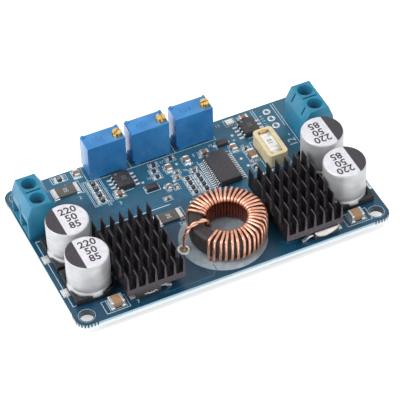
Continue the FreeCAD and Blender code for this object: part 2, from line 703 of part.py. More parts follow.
def make_core():
    body = new_body("inductor_core")
    half = sketch_on(body, "XZ_Plane")
    rise = "wire_gap * 2 + wire_diameter"
    outline(half, (
        ("core_inside / 2", rise),
        ("core_outside / 2", rise),
        ("core_outside / 2", f"{rise} + core_height - core_round"),
        ("core_outside / 2 - core_round", f"{rise} + core_height"),
        ("core_inside / 2 + core_round", f"{rise} + core_height"),
        ("core_inside / 2", f"{rise} + core_height - core_round"),
    ))
    turned = body.newObject("PartDesign::Revolution", "Turned")
    turned.Profile = half
    turned.ReferenceAxis = (half, ["V_Axis"])
    turned.Angle = 360
    place(body, "coil_x", "front + coil_front", "board_thickness")


def winding_route(strand):
    """Points of one strand round the ring core, from its end in the board to the lead pad."""
    radius = value("wire_diameter") / 2
    reach = radius + value("wire_gap")
    outer = value("core_outside") / 2 + reach
    inner = value("core_inside") / 2 - reach
    low = value("wire_gap") + radius
    high = low + value("core_height") + 2 * reach
    bend = value("core_round") + reach * 0.5
    turns = int(value("strand_turns"))
    pass_angle = value(STRAND_STEP)
    start = value("winding_start") + strand * pass_angle
    below = -value("board_thickness")
    corner = bend * (1 - math.cos(math.pi / 4))

    def at(distance, angle, height):
        turned = math.radians(angle)
        return FreeCAD.Vector(distance * math.cos(turned), distance * math.sin(turned), height)

    route = [at(outer, start, below)]
    for turn in range(turns):
        rising = start + turn * 2 * pass_angle
        falling = rising + pass_angle * 0.5
        route += [
            at(outer, rising, high - bend),
            at(outer - bend, rising, high),
            at(inner + bend, falling, high),
            at(inner, falling, high - bend),
        ]
        if turn < turns - 1:
            following = rising + 2 * pass_angle
            route += [at(inner, falling, low), at(outer, following, low)]

    way = math.radians(value("lead_angle"))
    ahead = FreeCAD.Vector(math.cos(way), math.sin(way), 0)
    beside = FreeCAD.Vector(-ahead.y, ahead.x, 0) * (0.5 - strand) * value("lead_spread")
    level = FreeCAD.Vector(0, 0, (low + high) / 2)
    crest = FreeCAD.Vector(0, 0, high + reach)
    inset = inner - reach - (1 - strand) * 2.2 * radius
    far = value("lead_pad_reach")
    route.append(at(inner, falling, level.z))
    if strand == 0:
        # This strand passes inside the other one on its way to the lead
        route.append(at(inset, falling, level.z))
    route += [
        ahead * inset + beside + level,
        ahead * inset + beside + crest - FreeCAD.Vector(0, 0, bend),
        ahead * (inset + corner) + beside + crest - FreeCAD.Vector(0, 0, corner),
        ahead * (inset + bend) + beside + crest,
        ahead * (far - 2 * bend) + beside + crest,
        ahead * (far - corner) + beside + crest - FreeCAD.Vector(0, 0, bend),
        ahead * far + beside + FreeCAD.Vector(0, 0, 1.5 * bend),
        ahead * far + beside + FreeCAD.Vector(0, 0, below),
    ]
    return route


def wire_along(route, radius, sides=6):
    """A wire of flat facets along straight runs, mitred where two runs meet."""
    runs = [(after - before).normalize() for before, after in zip(route, route[1:])]
    upright = FreeCAD.Vector(1, 0, 0) if abs(runs[0].x) < 0.9 else FreeCAD.Vector(0, 1, 0)
    across = runs[0].cross(upright).normalize()
    along = runs[0].cross(across)
    ring = []
    for side in range(sides):
        angle = 2 * math.pi * side / sides
        ring.append(route[0] + across * (radius * math.cos(angle)) + along * (radius * math.sin(angle)))
    rings = [ring]
    for index, run in enumerate(runs):
        corner = route[index + 1]
        normal = run if index == len(runs) - 1 else (run + runs[index + 1]).normalize()
        ring = [point + run * ((corner - point).dot(normal) / run.dot(normal)) for point in ring]
        rings.append(ring)

    faces = [Part.Face(Part.makePolygon(rings[0] + rings[0][:1]))]
    for before, after in zip(rings, rings[1:]):
        for side in range(sides):
            other = (side + 1) % sides
            corners = [before[side], before[other], after[other], after[side], before[side]]
            faces.append(Part.Face(Part.makePolygon(corners)))
    faces.append(Part.Face(Part.makePolygon(rings[-1] + rings[-1][:1])))
    shell = Part.Shell(faces)
    shell.sewShape()
    solid = Part.Solid(shell)
    if solid.Volume < 0:
        solid.reverse()
    return solid


def make_winding():
    for strand in (0, 1):
        made = document.addObject("Part::Feature", "Winding")
        made.Label = f"inductor_winding_{strand + 1}"
        made.Shape = wire_along(winding_route(strand), value("wire_diameter") / 2)
        place(made, "coil_x", "front + coil_front", "board_thickness")


def make_controller():
    x, y = CONTROLLER
    body = moulded("controller_chip", "controller_width", "controller_length", "controller_height")
    place(body, x, y, "board_thickness + chip_clearance")
    rows = []
    for turn in (0, 180):
        row = gull_wings("Leads", "controller_width", "controller_span", "lead_exit", "lead_sheet",
                         "controller_lead", "controller_pitch", "controller_side")
        rows.append(place(row, x, y, "board_thickness", turn))
    group("controller_leads", rows)


def make_amplifiers():
    rows = []
    for number, (x, y) in enumerate(AMPLIFIERS, start=1):
        body = moulded(f"amplifier_chip_{number}", "amplifier_width", "amplifier_length",
                       "amplifier_height")
        place(body, x, y, "board_thickness + chip_clearance")
        for turn in (0, 180):
            row = gull_wings("Leads", "amplifier_width", "amplifier_span", "lead_exit * 0.8",
                             "lead_sheet", "amplifier_lead", "amplifier_pitch", "amplifier_side")
            rows.append(place(row, x, y, "board_thickness", turn))
    group("amplifier_leads", rows)


def make_chip(length, width, height, end, x, y, turned):
    """Body and two end caps of a chip part, lying along X or turned along Y."""
    inner = f"({length}) - 2 * ({end})"
    shift = f"(({length}) - ({end})) / 2"
    if turned:
        body = block(width, inner, height, x, y, "board_thickness")
        ends = [block(width, end, height, x, f"{y} + {way} * {shift}", "board_thickness")
                for way in (-1, 1)]
    else:
        body = block(inner, width, height, x, y, "board_thickness")
        ends = [block(end, width, height, f"{x} + {way} * {shift}", y, "board_thickness")
                for way in (-1, 1)]
    return body, ends


def make_chip_group(name, places):
    bodies = []
    caps = []
    for kind, x, y, turned in places:
        body, ends = make_chip(*(f"{kind}_{side}" for side in CHIP_SIDES), x, y, turned)
        bodies.append(body)
        caps += ends
    group(f"{name}_bodies", bodies)
    group(f"{name}_ends", caps)


def make_shunts():
    bodies = []
    caps = []
    for x, y in SHUNTS:
        body, ends = make_chip("shunt_length", "shunt_width", "shunt_height", "shunt_end", x, y, False)
        bodies.append(body)
        caps += ends
    group("sense_resistor_bodies", bodies)
    group("sense_resistor_ends", caps)


def make_diodes():
    bodies = []
    feet = []
    for x, y in DIODES:
        bodies.append(block("diode_length", "diode_width", "diode_height", x, y, "board_thickness"))
        for way in (-1, 1):
            feet.append(block("diode_foot", "diode_width / 2", "diode_foot / 2",
                              f"{x} + {way} * (diode_length + diode_foot) / 2", y, "board_thickness"))
    group("diode_bodies", bodies)
    group("diode_leads", feet)


def make_fuse():
    """Cream holder with an open channel, square fuse between two spring clips."""
    room = "(fuse_length + 2 * clip_gap)"
    across = "right - holder_inset"
    along = "back - holder_setback"
    body = new_body("fuse_holder")
    footprint = sketch_on(body, "XY_Plane")
    rectangle(footprint, "0", "0", "holder_width", "holder_length")
    pad(body, footprint, "holder_height")
    channel = sketch_on(body, "XY_Plane", "holder_height")
    rectangle(channel, "0", "0", "fuse_side + 2 * fit", room)
    pocket(body, channel, "holder_height - fuse_seat")
    place(body, across, along, "board_thickness")

    seat = "board_thickness + fuse_seat"
    fuse = block("fuse_side", "fuse_length - 2 * fuse_cap", "fuse_side", across, along, seat)
    fuse.Label = "fuse_body"
    metal = []
    for way in (-1, 1):
        metal.append(block("fuse_side", "fuse_cap", "fuse_side", across,
                           f"{along} + {way} * (fuse_length - fuse_cap) / 2", seat))
        metal.append(block("fuse_side", "clip_sheet", "fuse_side * 0.8", across,
                           f"{along} + {way} * (fuse_length + clip_sheet) / 2", seat))
    group("fuse_contacts", metal)


def solder_joint(x, y, foot, tip, height, pin=None):
    """Solder below the board, wide at the copper, with the pin standing through it."""
    joint = new_body("Joint")
    ring = sketch_on(joint, "XY_Plane")
    polygon(ring, "0", "0", foot)
    cone = pad(joint, ring, height, backwards=True)
    bind(cone, "TaperAngle", f"atan(({tip} - ({foot})) * cos(30) / ({height}))")
    if pin:
        passage = sketch_on(joint, "XY_Plane")
        rectangle(passage, "0", "0", pin, pin)
        pocket(joint, passage, height)
    return place(joint, x, y, "0")


def make_solder():
    """Solder joints of every piece whose pins go through the board."""
    joints = []
    for side in (-1, 1):
        for pole in (-1, 1):
            joints.append(solder_joint(
                f"{side} * (board_length / 2 - terminal_setback - bore_setback)",
                f"back - terminal_row + {pole} * pole_pitch / 2", f"terminal_pin * {CORNER} + solder_reach",
                f"terminal_pin * {CORNER} + solder_tip", "solder_height", "terminal_pin"))
    for left_wall, slot_angle in TRIMMERS:
        for step in (-1, 0, 1):
            joints.append(solder_joint(
                f"{left_wall} + trimmer_length / 2 + {step} * trimmer_pin_pitch",
                "back - trimmer_row + trimmer_depth / 2", f"trimmer_pin * {CORNER} + solder_reach",
                f"trimmer_pin * {CORNER} + solder_tip", "solder_height", "trimmer_pin"))
    for x, y in (round_coil("lead_pad_reach", "lead_angle"),
                 round_coil(OUTER_REACH, f"(winding_start + {STRAND_STEP} / 2)")):
        joints.append(solder_joint(x, y, "lead_solder", "lead_solder_tip", "tail"))
    group("solder_joints", joints)


make_board()
make_terminal("left", 0)
make_terminal("right", 180)
clamp_number = 0
for side in (-1, 1):
    for pole in (-1, 1):
        clamp_number += 1
        make_clamp(clamp_number, f"{side} * (board_length / 2 - terminal_setback - bore_setback)",
                   f"back - terminal_row + {pole} * pole_pitch / 2")

front_row = "front + can_front"
back_row = "front + can_front + can_spacing"
tabs = []
for number, (across, along, turn) in enumerate((
        ("left + can_inset_left", front_row, 0),
        ("left + can_inset_left", back_row, 0),
        ("right - can_inset_right", front_row, 180),
        ("right - can_inset_right", back_row, 180)), start=1):
    tabs += make_capacitor(number, across, along, turn)
group("capacitor_tabs", tabs)

pins = []
for number, (left_wall, slot_angle) in enumerate(TRIMMERS, start=1):
    pins += make_trimmer(number, left_wall, slot_angle)
group("trimmer_pins", pins)

metal_parts = []
patches = []
transistor_number = 0
for side, (middle_x, middle_y, transistors) in HEATSINKS.items():
    patches += make_heatsink(side, middle_x, middle_y, transistors)
    for x, y in transistors:
        transistor_number += 1
        turn = 0 if side == "left" else 180
        metal_parts.append(make_transistor(transistor_number, x, y, turn))
group("power_transistor_metal", metal_parts)
group("thermal_adhesive", patches)

make_core()
make_winding()
make_controller()
make_amplifiers()
make_chip_group("chip_resistor", CHIP_RESISTORS)
make_chip_group("ceramic_capacitor", CHIP_CAPACITORS)
make_shunts()
make_diodes()
make_fuse()
make_solder()
light = block("light_length", "light_width", "light_height", *STATUS_LIGHT, "board_thickness")
light.Label = "status_led"

document.recompute()

# Every object must have worked before any file is written
for made in document.Objects:
    if "Invalid" in made.State or "Error" in made.State:
        raise RuntimeError(f"{made.Label} failed: {made.State}")

# Sub-parts are the labelled objects whose names are written in small letters only
parts = [made for made in document.Objects if re.fullmatch(r"[a-z][a-z0-9_]*", made.Label)]
for made in parts:
    if made.Shape.isNull() or not made.Shape.isValid():
        raise RuntimeError(f"{made.Label} has no valid shape")
os.makedirs("parts", exist_ok=True)
for made in parts:
    made.Shape.exportStep(os.path.join("parts", made.Label + ".step"))
print(len(parts), "sub-parts written")
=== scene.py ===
import bpy
import bmesh
import math
import random
from mathutils import Matrix, Vector


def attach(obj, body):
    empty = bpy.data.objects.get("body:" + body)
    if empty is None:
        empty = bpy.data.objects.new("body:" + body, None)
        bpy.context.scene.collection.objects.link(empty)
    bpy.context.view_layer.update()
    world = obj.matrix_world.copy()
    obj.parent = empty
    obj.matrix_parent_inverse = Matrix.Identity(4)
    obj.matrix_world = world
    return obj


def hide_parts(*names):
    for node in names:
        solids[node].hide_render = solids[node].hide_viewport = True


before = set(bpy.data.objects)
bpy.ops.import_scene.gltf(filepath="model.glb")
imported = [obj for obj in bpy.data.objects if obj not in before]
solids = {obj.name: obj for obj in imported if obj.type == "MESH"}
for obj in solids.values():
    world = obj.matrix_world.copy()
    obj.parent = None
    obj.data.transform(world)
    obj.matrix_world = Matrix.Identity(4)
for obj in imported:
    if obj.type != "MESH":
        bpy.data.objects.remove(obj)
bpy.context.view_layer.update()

# The view. The photograph was taken from the front left and from above, from half a metre away
# with a long lens. Sizes in this file are millimetres, turned to metres when a mesh is made.
MM = 0.001
view_turn, view_tilt, view_roll = (math.radians(angle) for angle in (23.575, 45.189, -2.078))
view_target = Vector((1.49, 0.94, 1.6)) * MM
view_distance = 537.49 * MM

towards_camera = Vector((-math.sin(view_turn) * math.cos(view_tilt),
                         -math.cos(view_turn) * math.cos(view_tilt), math.sin(view_tilt)))
level_right = Vector((math.cos(view_turn), -math.sin(view_turn), 0))
level_up = towards_camera.cross(level_right)
frame_right = level_right * math.cos(view_roll) + level_up * math.sin(view_roll)
frame_up = level_up * math.cos(view_roll) - level_right * math.sin(view_roll)


def placed(name, data):
    """A new object in the scene, from its camera, lamp, curve or mesh."""
    made = bpy.data.objects.new(name, data)
    bpy.context.scene.collection.objects.link(made)
    return made


lens = bpy.data.cameras.new("Long lens")
lens.sensor_width = 36
lens.lens = 210.1
lens.clip_start, lens.clip_end = 0.02, 20
camera = placed("Camera", lens)
camera.matrix_world = (Matrix.Translation(view_target + towards_camera * view_distance)
                       @ Matrix((frame_right, frame_up, towards_camera)).transposed().to_4x4())
bpy.context.scene.camera = camera
bpy.context.scene.view_settings.view_transform = "Standard"


# The studio. A pale floor below the pin ends, a soft white room, a broad lamp from the left and
# a weaker one from the front right. The camera sees the floor and the room as plain white.
def lamp(name, place, side, power):
    """A square lamp, with its place and side in metres, aimed at the middle of the board."""
    light = bpy.data.lights.new(name, "AREA")
    light.size = side
    light.energy = power
    stand = placed(name, light)
    stand.location = place
    stand.rotation_euler = Vector(place).to_track_quat("Z", "Y").to_euler()


lamp("Left lamp", (-0.62, 0.10, 0.62), 0.55, 5.2)
lamp("Front lamp", (0.35, -0.75, 0.55), 0.60, 2.2)

room = bpy.data.worlds.new("Soft white room")
bpy.context.scene.world = room
room.use_nodes = True
room_tree = room.node_tree
room_light = room_tree.nodes["Background"]
room_light.inputs["Color"].default_value = (1, 1, 1, 1)


def add_node(tree, kind, inputs=(), **settings):
    """A node with its settings, and with its inputs joined to sockets or set to values."""
    node = tree.nodes.new(kind)
    for setting, choice in settings.items():
        setattr(node, setting, choice)
    for title, given in dict(inputs).items():
        if isinstance(given, bpy.types.NodeSocket):
            tree.links.new(given, node.inputs[title])
        else:
            node.inputs[title].default_value = given
    return node


def maths(tree, operation, *terms):
    """One sum on numbers or sockets, in a shader or a geometry tree."""
    return add_node(tree, "ShaderNodeMath", enumerate(terms), operation=operation).outputs[0]


def seen_directly(tree):
    """One for camera rays, mirror rays and rays through clear pieces, and nothing for the rest."""
    rays = tree.nodes.new("ShaderNodeLightPath").outputs
    return maths(tree, "MAXIMUM", maths(tree, "MAXIMUM", rays["Is Camera Ray"], rays["Is Glossy Ray"]),
                 rays["Is Transmission Ray"])


room_level = add_node(room_tree, "ShaderNodeMapRange",
                      {"Value": seen_directly(room_tree), "To Min": 0.62, "To Max": 0.96})
room_tree.links.new(room_level.outputs["Result"], room_light.inputs["Strength"])

SQUARE = ((-1, -1), (1, -1), (1, 1), (-1, 1))
floor_half, floor_level = 3.0, -1.55 * MM
floor_mesh = bpy.data.meshes.new("Floor")
floor_mesh.from_pydata([(x * floor_half, y * floor_half, floor_level) for x, y in SQUARE],
                       [], [(0, 1, 2, 3)])
floor = placed("Floor", floor_mesh)
floor_white = bpy.data.materials.new("Floor white")
floor_white.use_nodes = True
floor_tree = floor_white.node_tree
floor_shader = floor_tree.nodes["Principled BSDF"]
floor_shader.inputs["Base Color"].default_value = (0.90, 0.90, 0.90, 1)
floor_shader.inputs["Roughness"].default_value = 0.9
floor_shader.inputs["Specular IOR Level"].default_value = 0.0
floor_shader.inputs["Emission Color"].default_value = (1, 1, 1, 1)
floor_lift = maths(floor_tree, "MULTIPLY", seen_directly(floor_tree), 0.52)
floor_tree.links.new(floor_lift, floor_shader.inputs["Emission Strength"])
floor_mesh.materials.append(floor_white)


# The circuit board, 1.6 mm glass laminate with a glossy blue solder mask on both faces. Its cut
# edges show the pale laminate. It carries every other piece, and four screws go through its corners.
BOARD_TOP, board_half_x, board_half_y = 1.6, 38.8, 23.25


def new_finish(name):
    """A material, its node tree, its shader and the place on the piece that patterns read."""
    made = bpy.data.materials.new(name)
    made.use_nodes = True
    tree = made.node_tree
    return made, tree, tree.nodes["Principled BSDF"], tree.nodes.new("ShaderNodeTexCoord").outputs["Object"]


def grain(tree, where, size, detail=3.0, stretch=(1, 1, 1)):
    """Noise with grains of about the given size, longer where the stretch is under one."""
    mapping = add_node(tree, "ShaderNodeMapping", {"Vector": where, "Scale": stretch})
    return add_node(tree, "ShaderNodeTexNoise", {"Vector": mapping.outputs["Vector"],
                                                 "Scale": 1 / (size * MM), "Detail": detail}).outputs["Fac"]


def paint(colour):
    """A colour as it looks on a screen, from 0 to 255, for a shader."""
    shares = [part / 255 for part in colour]
    return (*(part / 12.92 if part <= 0.04045 else ((part + 0.055) / 1.055) ** 2.4 for part in shares), 1)


def between(tree, factor, *stops):
    """Colours along a factor, each stop a position and a colour as on a screen."""
    ramp = add_node(tree, "ShaderNodeValToRGB", {"Fac": factor})
    marks = ramp.color_ramp.elements
    while len(marks) < len(stops):
        marks.new(0.5)
    for mark, (position, colour) in zip(marks, stops):
        mark.position = position
        mark.color = paint(colour)
    return ramp.outputs["Color"]


def spread(tree, factor, low, high):
    """A factor from 0.3 to 0.7 turned into a range of numbers."""
    return add_node(tree, "ShaderNodeMapRange", {"Value": factor, "From Min": 0.3, "From Max": 0.7,
                                                 "To Min": low, "To Max": high}).outputs["Result"]


def relief(tree, shader, factor, height, strength=0.6):
    """Bumps of the given height on the surface."""
    bump = add_node(tree, "ShaderNodeBump", {"Strength": strength, "Distance": height * MM, "Height": factor})
    tree.links.new(bump.outputs["Normal"], shader.inputs["Normal"])


def blended(tree, factor, first, second):
    """Two colour sockets mixed by a factor."""
    return add_node(tree, "ShaderNodeMix", {0: factor, 6: first, 7: second}, data_type="RGBA").outputs[2]


def parts_of(tree, socket):
    """The X, Y and Z of a place or a direction."""
    return add_node(tree, "ShaderNodeSeparateXYZ", {"Vector": socket}).outputs


def from_axis(tree, off_x, off_y):
    """The distance from an upright axis, from its two parts."""
    return maths(tree, "SQRT", maths(tree, "ADD", maths(tree, "POWER", off_x, 2.0),
                                     maths(tree, "POWER", off_y, 2.0)))


laminate, tree, shader, where = new_finish("Blue mask on laminate")
facing = parts_of(tree, tree.nodes["Texture Coordinate"].outputs["Normal"])
on_face = maths(tree, "GREATER_THAN", maths(tree, "ABSOLUTE", facing["Z"]), 0.5)

# The mask is painted paler towards the back and the right, a painted reflection of the bright room, with a
# broad random mottle in it
board_place = parts_of(tree, where)
mask_sheen_share = maths(tree, "MULTIPLY_ADD", board_place["Y"], 0.016 / MM,
                     maths(tree, "MULTIPLY_ADD", grain(tree, where, 9, 2.0), 0.7, 0.12))
mask_sheen_share = maths(tree, "MULTIPLY_ADD", board_place["X"], 0.006 / MM, mask_sheen_share)
mask_blue = between(tree, mask_sheen_share, (0.12, (14, 60, 86)), (0.42, (24, 78, 106)),
                    (0.75, (46, 104, 130)))
mask_fine = between(tree, grain(tree, where, 0.35), (0.3, (18, 54, 80)), (0.7, (60, 108, 134)))
fine_share = spread(tree, grain(tree, where, 3), 0.15, 0.3)
mask_soft = blended(tree, fine_share, mask_blue, mask_fine)
# The cut edge is painted near white towards its foot, a painted highlight where it meets the bright floor,
# and bluish at the top where the mask covers it
cut_edge_with_painted_highlight = between(tree, maths(tree, "ADD", maths(tree, "DIVIDE", board_place["Z"], BOARD_TOP * MM),
                               maths(tree, "MULTIPLY", grain(tree, where, 0.5, 4.0, (0.25, 0.25, 4)), 0.3)),
                   (0.5, (246, 250, 251)), (0.8, (214, 232, 240)), (1.05 / 1.3, (150, 190, 208)))

# The walls of the four corner holes are painted dark, painted shade inside the holes
hole_x, hole_y = 35.95, 20.4
hole_offs = [maths(tree, "SUBTRACT", maths(tree, "ABSOLUTE", board_place[axis]), middle * MM)
             for axis, middle in (("X", hole_x), ("Y", hole_y))]
hole_distance = from_axis(tree, *hole_offs)
hole_wall_shade = between(tree, grain(tree, where, 0.4), (0.3, (30, 42, 50)), (0.7, (58, 76, 84)))
edge_and_hole_painted_light = blended(tree, maths(tree, "LESS_THAN", hole_distance, 2.0 * MM), cut_edge_with_painted_highlight, hole_wall_shade)
tree.links.new(blended(tree, on_face, edge_and_hole_painted_light, mask_soft), shader.inputs["Base Color"])
tree.links.new(spread(tree, grain(tree, where, 4), 0.26, 0.38), shader.inputs["Roughness"])
relief(tree, shader, grain(tree, where, 1.2), 0.02, 0.35)
solids["circuit_board"].data.materials.clear()
solids["circuit_board"].data.materials.append(laminate)


# The copper under the mask shows as slightly raised tracks, with a line of painted shade beside each. Rows
# of small plated holes join the two sides of the board. All of it was etched and plated with the board.
def finished(piece, slot, *replaced, body="module"):
    """The piece moves with its body and stands for the solids named. The slot is not used."""
    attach(piece, body)
    if replaced:
        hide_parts(*replaced)
    return piece


def new_piece(name, points, faces, material, smooth=False):
    """A mesh object from points in millimetres."""
    mesh = bpy.data.meshes.new(name)
    mesh.from_pydata([Vector(point) * MM for point in points], [], faces)
    mesh.materials.append(material)
    if smooth:
        mesh.polygons.foreach_set("use_smooth", [True] * len(mesh.polygons))
    return placed(name, mesh)


def add_prism(points, faces, outline, low, high, shrink=0.0):
    """An upright block over an outline that runs anticlockwise, drawn in at its top by a share."""
    first = len(points)
    count = len(outline)
    middle = sum((Vector(corner) for corner in outline), Vector((0, 0))) / count
    for level, share in ((low, 0.0), (high, shrink)):
        for corner in outline:
            x, y = Vector(corner).lerp(middle, share)
            points.append((x, y, level))
    faces.append([first + index for index in reversed(range(count))])
    faces.append([first + count + index for index in range(count)])
    for index in range(count):
        following = (index + 1) % count
        faces.append([first + index, first + following, first + count + following, first + count + index])


def box_outline(x, y, width, length):
    return [(x + side_x * width / 2, y + side_y * length / 2) for side_x, side_y in SQUARE]


def add_line(points, faces, route, width, low, high, closed=False):
    """A flat printed line along a route, mitred at its corners."""
    first = len(points)
    count = len(route)
    corners = [Vector(corner) for corner in route]
    for index, here in enumerate(corners):
        ways = []
        if closed or index > 0:
            ways.append((here - corners[index - 1]).normalized())
        if closed or index < count - 1:
            ways.append((corners[(index + 1) % count] - here).normalized())
        way = sum(ways, Vector((0, 0))).normalized()
        beside = Vector((-way.y, way.x))
        reach = width / 2 / max(0.45, beside.dot(Vector((-ways[0].y, ways[0].x))))
        for side, level in ((1, low), (1, high), (-1, high), (-1, low)):
            spot = here + beside * (reach * side)
            points.append((spot.x, spot.y, level))
    for index in range(count if closed else count - 1):
        now, then = first + 4 * index, first + 4 * ((index + 1) % count)
        for side in range(4):
            other = (side + 1) % 4
            faces.append([now + side, now + other, then + other, then + side])
    if not closed:
        faces.append([first + 3, first + 2, first + 1, first])
        last = first + 4 * (count - 1)
        faces.append([last, last + 1, last + 2, last + 3])


def new_tree(name, *sizes):
    """An empty geometry tree with one named input for each size."""
    tree = bpy.data.node_groups.new(name, "GeometryNodeTree")
    tree.interface.new_socket("Geometry", in_out="INPUT", socket_type="NodeSocketGeometry")
    for title in sizes:
        tree.interface.new_socket(title, in_out="INPUT", socket_type="NodeSocketFloat")
    tree.interface.new_socket("Geometry", in_out="OUTPUT", socket_type="NodeSocketGeometry")
    end = tree.nodes.new("NodeGroupOutput").inputs["Geometry"]
    return tree, tree.nodes.new("NodeGroupInput").outputs, end


def close_tree(tree, geometry, material, end):
    """Every tree ends the same way: real meshes, then their material."""
    real = add_node(tree, "GeometryNodeRealizeInstances", {"Geometry": geometry})
    coat = add_node(tree, "GeometryNodeSetMaterial",
                    {"Geometry": real.outputs["Geometry"], "Material": material})
    tree.links.new(coat.outputs["Geometry"], end)


def as_mesh(drawn):
    """The plain mesh that an object shows with its tree, text or curve."""
    bpy.context.view_layer.update()
    return bpy.data.meshes.new_from_object(drawn.evaluated_get(bpy.context.evaluated_depsgraph_get()))


def grown(name, tree, sizes, points=()):
    """Run a geometry tree once with its sizes in millimetres, and keep its result as a plain mesh."""
    start = bpy.data.meshes.new(name)
    start.from_pydata([Vector(point) * MM for point in points], [], [])
    piece = placed(name, start)
    modifier = piece.modifiers.new("Tree", "NODES")
    modifier.node_group = tree
    for item in tree.interface.items_tree:
        if item.in_out == "INPUT" and item.name in sizes:
            modifier[item.identifier] = float(sizes[item.name])
    made = as_mesh(piece)
    piece.modifiers.clear()
    piece.data = made
    return piece


def mottled(name, pattern, dark, pale, rough, bumps=None, stops=(0.3, 0.7), **more):
    """A finish of two colours in grains. A grain is its size, or its size, detail and stretch. The roughness
    is a number, or a grain and two ends, bumps are a grain and a height, and more inputs go by name."""
    made, tree, shader, where = new_finish(name)

    def noise(kind):
        return grain(tree, where, *(kind if isinstance(kind, tuple) else (kind,)))

    tree.links.new(between(tree, noise(pattern), *zip(stops, (dark, pale))), shader.inputs["Base Color"])
    if isinstance(rough, tuple):
        tree.links.new(spread(tree, noise(rough[0]), *rough[1:]), shader.inputs["Roughness"])
    else:
        shader.inputs["Roughness"].default_value = rough
    if bumps:
        relief(tree, shader, noise(bumps[0]), *bumps[1:])
    for title, amount in more.items():
        shader.inputs[title.replace("_", " ").title()].default_value = amount
    return made


# The dark line beside each track is painted shade along the track's edge
track_side_shade = mottled("Painted shade beside a track", 1.5, (24, 66, 92), (34, 80, 106), 0.4, (0.8, 0.01),
                      stops=(0.35, 0.65))
track_blue = mottled("Mask over a track", 2.5, (30, 94, 130), (48, 118, 152), 0.3, (0.6, 0.01),
                     stops=(0.35, 0.65))

controller_x, controller_y, controller_pitch, controller_side = 10.3, 7.35, 0.65, 14
tracks = []
for lead in range(controller_side):
    lead_y = controller_y + (lead - (controller_side - 1) / 2) * controller_pitch
    reach = 5.2 + (lead % 4) * 0.75
    if lead % 3 != 2:
        tracks.append([(controller_x - 4.2, lead_y), (controller_x - reach, lead_y)])
    if lead % 4 != 1:
        bend = 0.5 * (lead % 3 - 1)
        tracks.append([(controller_x + 4.2, lead_y), (controller_x + reach, lead_y),
                       (controller_x + reach + abs(bend), lead_y + bend)])
for step in range(6):
    tracks.append([(-17.0 - step * 0.3, 9.4 - step * 0.5), (-13.0 - step * 0.3, 5.4 - step * 0.5),
                   (2.0 - step * 0.4, 5.4 - step * 0.5), (3.6 - step * 0.4, 3.8 - step * 0.5)])
for step in range(5):
    tracks.append([(14.5 + step * 0.5, 17.5), (14.5 + step * 0.5, 13.8 + step * 0.3),
                   (16.6 + step * 0.5, 11.7 + step * 0.3)])
for step in range(4):
    tracks.append([(-35.6 + step * 0.6, 5.0), (-35.6 + step * 0.6, 4.0 - step * 0.3),
                   (-33.0 + step * 0.6, 6.2 - step * 0.6), (-24.0, 6.2 - step * 0.6)])
tracks.append([(-18.0, -21.9), (-6.0, -21.9), (-4.4, -20.3), (-4.4, -18.5)])
tracks.append([(12.0, -19.0), (13.6, -20.6), (17.4, -20.6)])
tracks.append([(26.5, 9.5), (28.0, 8.0), (28.0, 0.5)])

for face in ("top", "under"):
    for kind, width, height, material in (("track_shade_lines", 0.36, 0.012, track_side_shade),
                                          ("tracks", 0.2, 0.022, track_blue)):
        points, faces = [], []
        for route in tracks:
            if face == "top":
                add_line(points, faces, route, width, BOARD_TOP - 0.01, BOARD_TOP + height)
            else:
                turned = [(-x * 0.9 + 2.0, y - 1.2) for x, y in reversed(route)]
                add_line(points, faces, turned, width, -height, 0.01)
        finished(new_piece(f"{kind}_{face}", points, faces, material), "laminate")


def studs(name, title, sides, material, radius, height, places):
    """Upright round studs with their middles at the places."""
    tree, sizes, end = new_tree(title, "Radius", "Height")
    stud = add_node(tree, "GeometryNodeMeshCylinder",
                    {"Vertices": sides, "Radius": sizes["Radius"], "Depth": sizes["Height"]})
    spots = add_node(tree, "GeometryNodeInstanceOnPoints",
                     {"Points": sizes["Geometry"], "Instance": stud.outputs["Mesh"]})
    close_tree(tree, spots.outputs["Instances"], material, end)
    return finished(grown(name, tree, {"Radius": radius * MM, "Height": height * MM}, places), "laminate")


vias = [(-24.0 + step * 1.25, 5.0 + (step % 3) * 0.7) for step in range(19)]
vias += [(route[-1][0], route[-1][1]) for route in tracks[:20]]
vias += [(x, -22.2 + (step % 2) * 0.5) for step, x in enumerate((-15.5, -12.5, -9.5, 14.5, 25.5, 27.3))]
vias += [(-37.3, y) for y in (-10.0, -5.2, -2.0, 1.6)]
vias += [(34.6 + 0.9 * (step % 2), 5.2 - step * 1.4) for step in range(5)]
via_places = [(x, y, BOARD_TOP / 2) for x, y in vias]
hole_dark = mottled("Shadow in a small hole", 0.4, (8, 22, 34), (16, 36, 50), 0.7)
studs("plated_hole_rings", "Plated holes", 14, track_blue, 0.28, BOARD_TOP + 0.05, via_places)
studs("plated_hole_mouths", "Small hole mouths", 10, hole_dark, 0.13, BOARD_TOP + 0.06, via_places)


# The legend is white ink printed on the mask: outlines round the parts, marks at the terminals
# and plain pin numbers. Bare tinned pads and rings lie beside it, where parts were soldered by hand.
def stamp(name, words, x, y, height, material, low, turn=0.0, under=False, weight=0.0):
    """Plain numbers or signs as a thin mesh, read from above, or from below the board."""
    curve = bpy.data.curves.new(name + "_line", "FONT")
    curve.body = words
    curve.size = height * 1.4 * MM
    curve.extrude = 0.01 * MM
    curve.resolution_u = 2
    curve.offset = weight * MM
    curve.align_x, curve.align_y = "CENTER", "CENTER"
    writer = placed(name + "_line", curve)
    mesh = as_mesh(writer)
    bpy.data.objects.remove(writer)
    turned = Matrix.Rotation(math.radians(turn), 4, "Z")
    if under:
        turned = turned @ Matrix.Rotation(math.pi, 4, "X")
    mesh.transform(Matrix.Translation(Vector((x, y, low)) * MM) @ turned)
    mesh.materials.clear()
    mesh.materials.append(material)
    return placed(name, mesh)


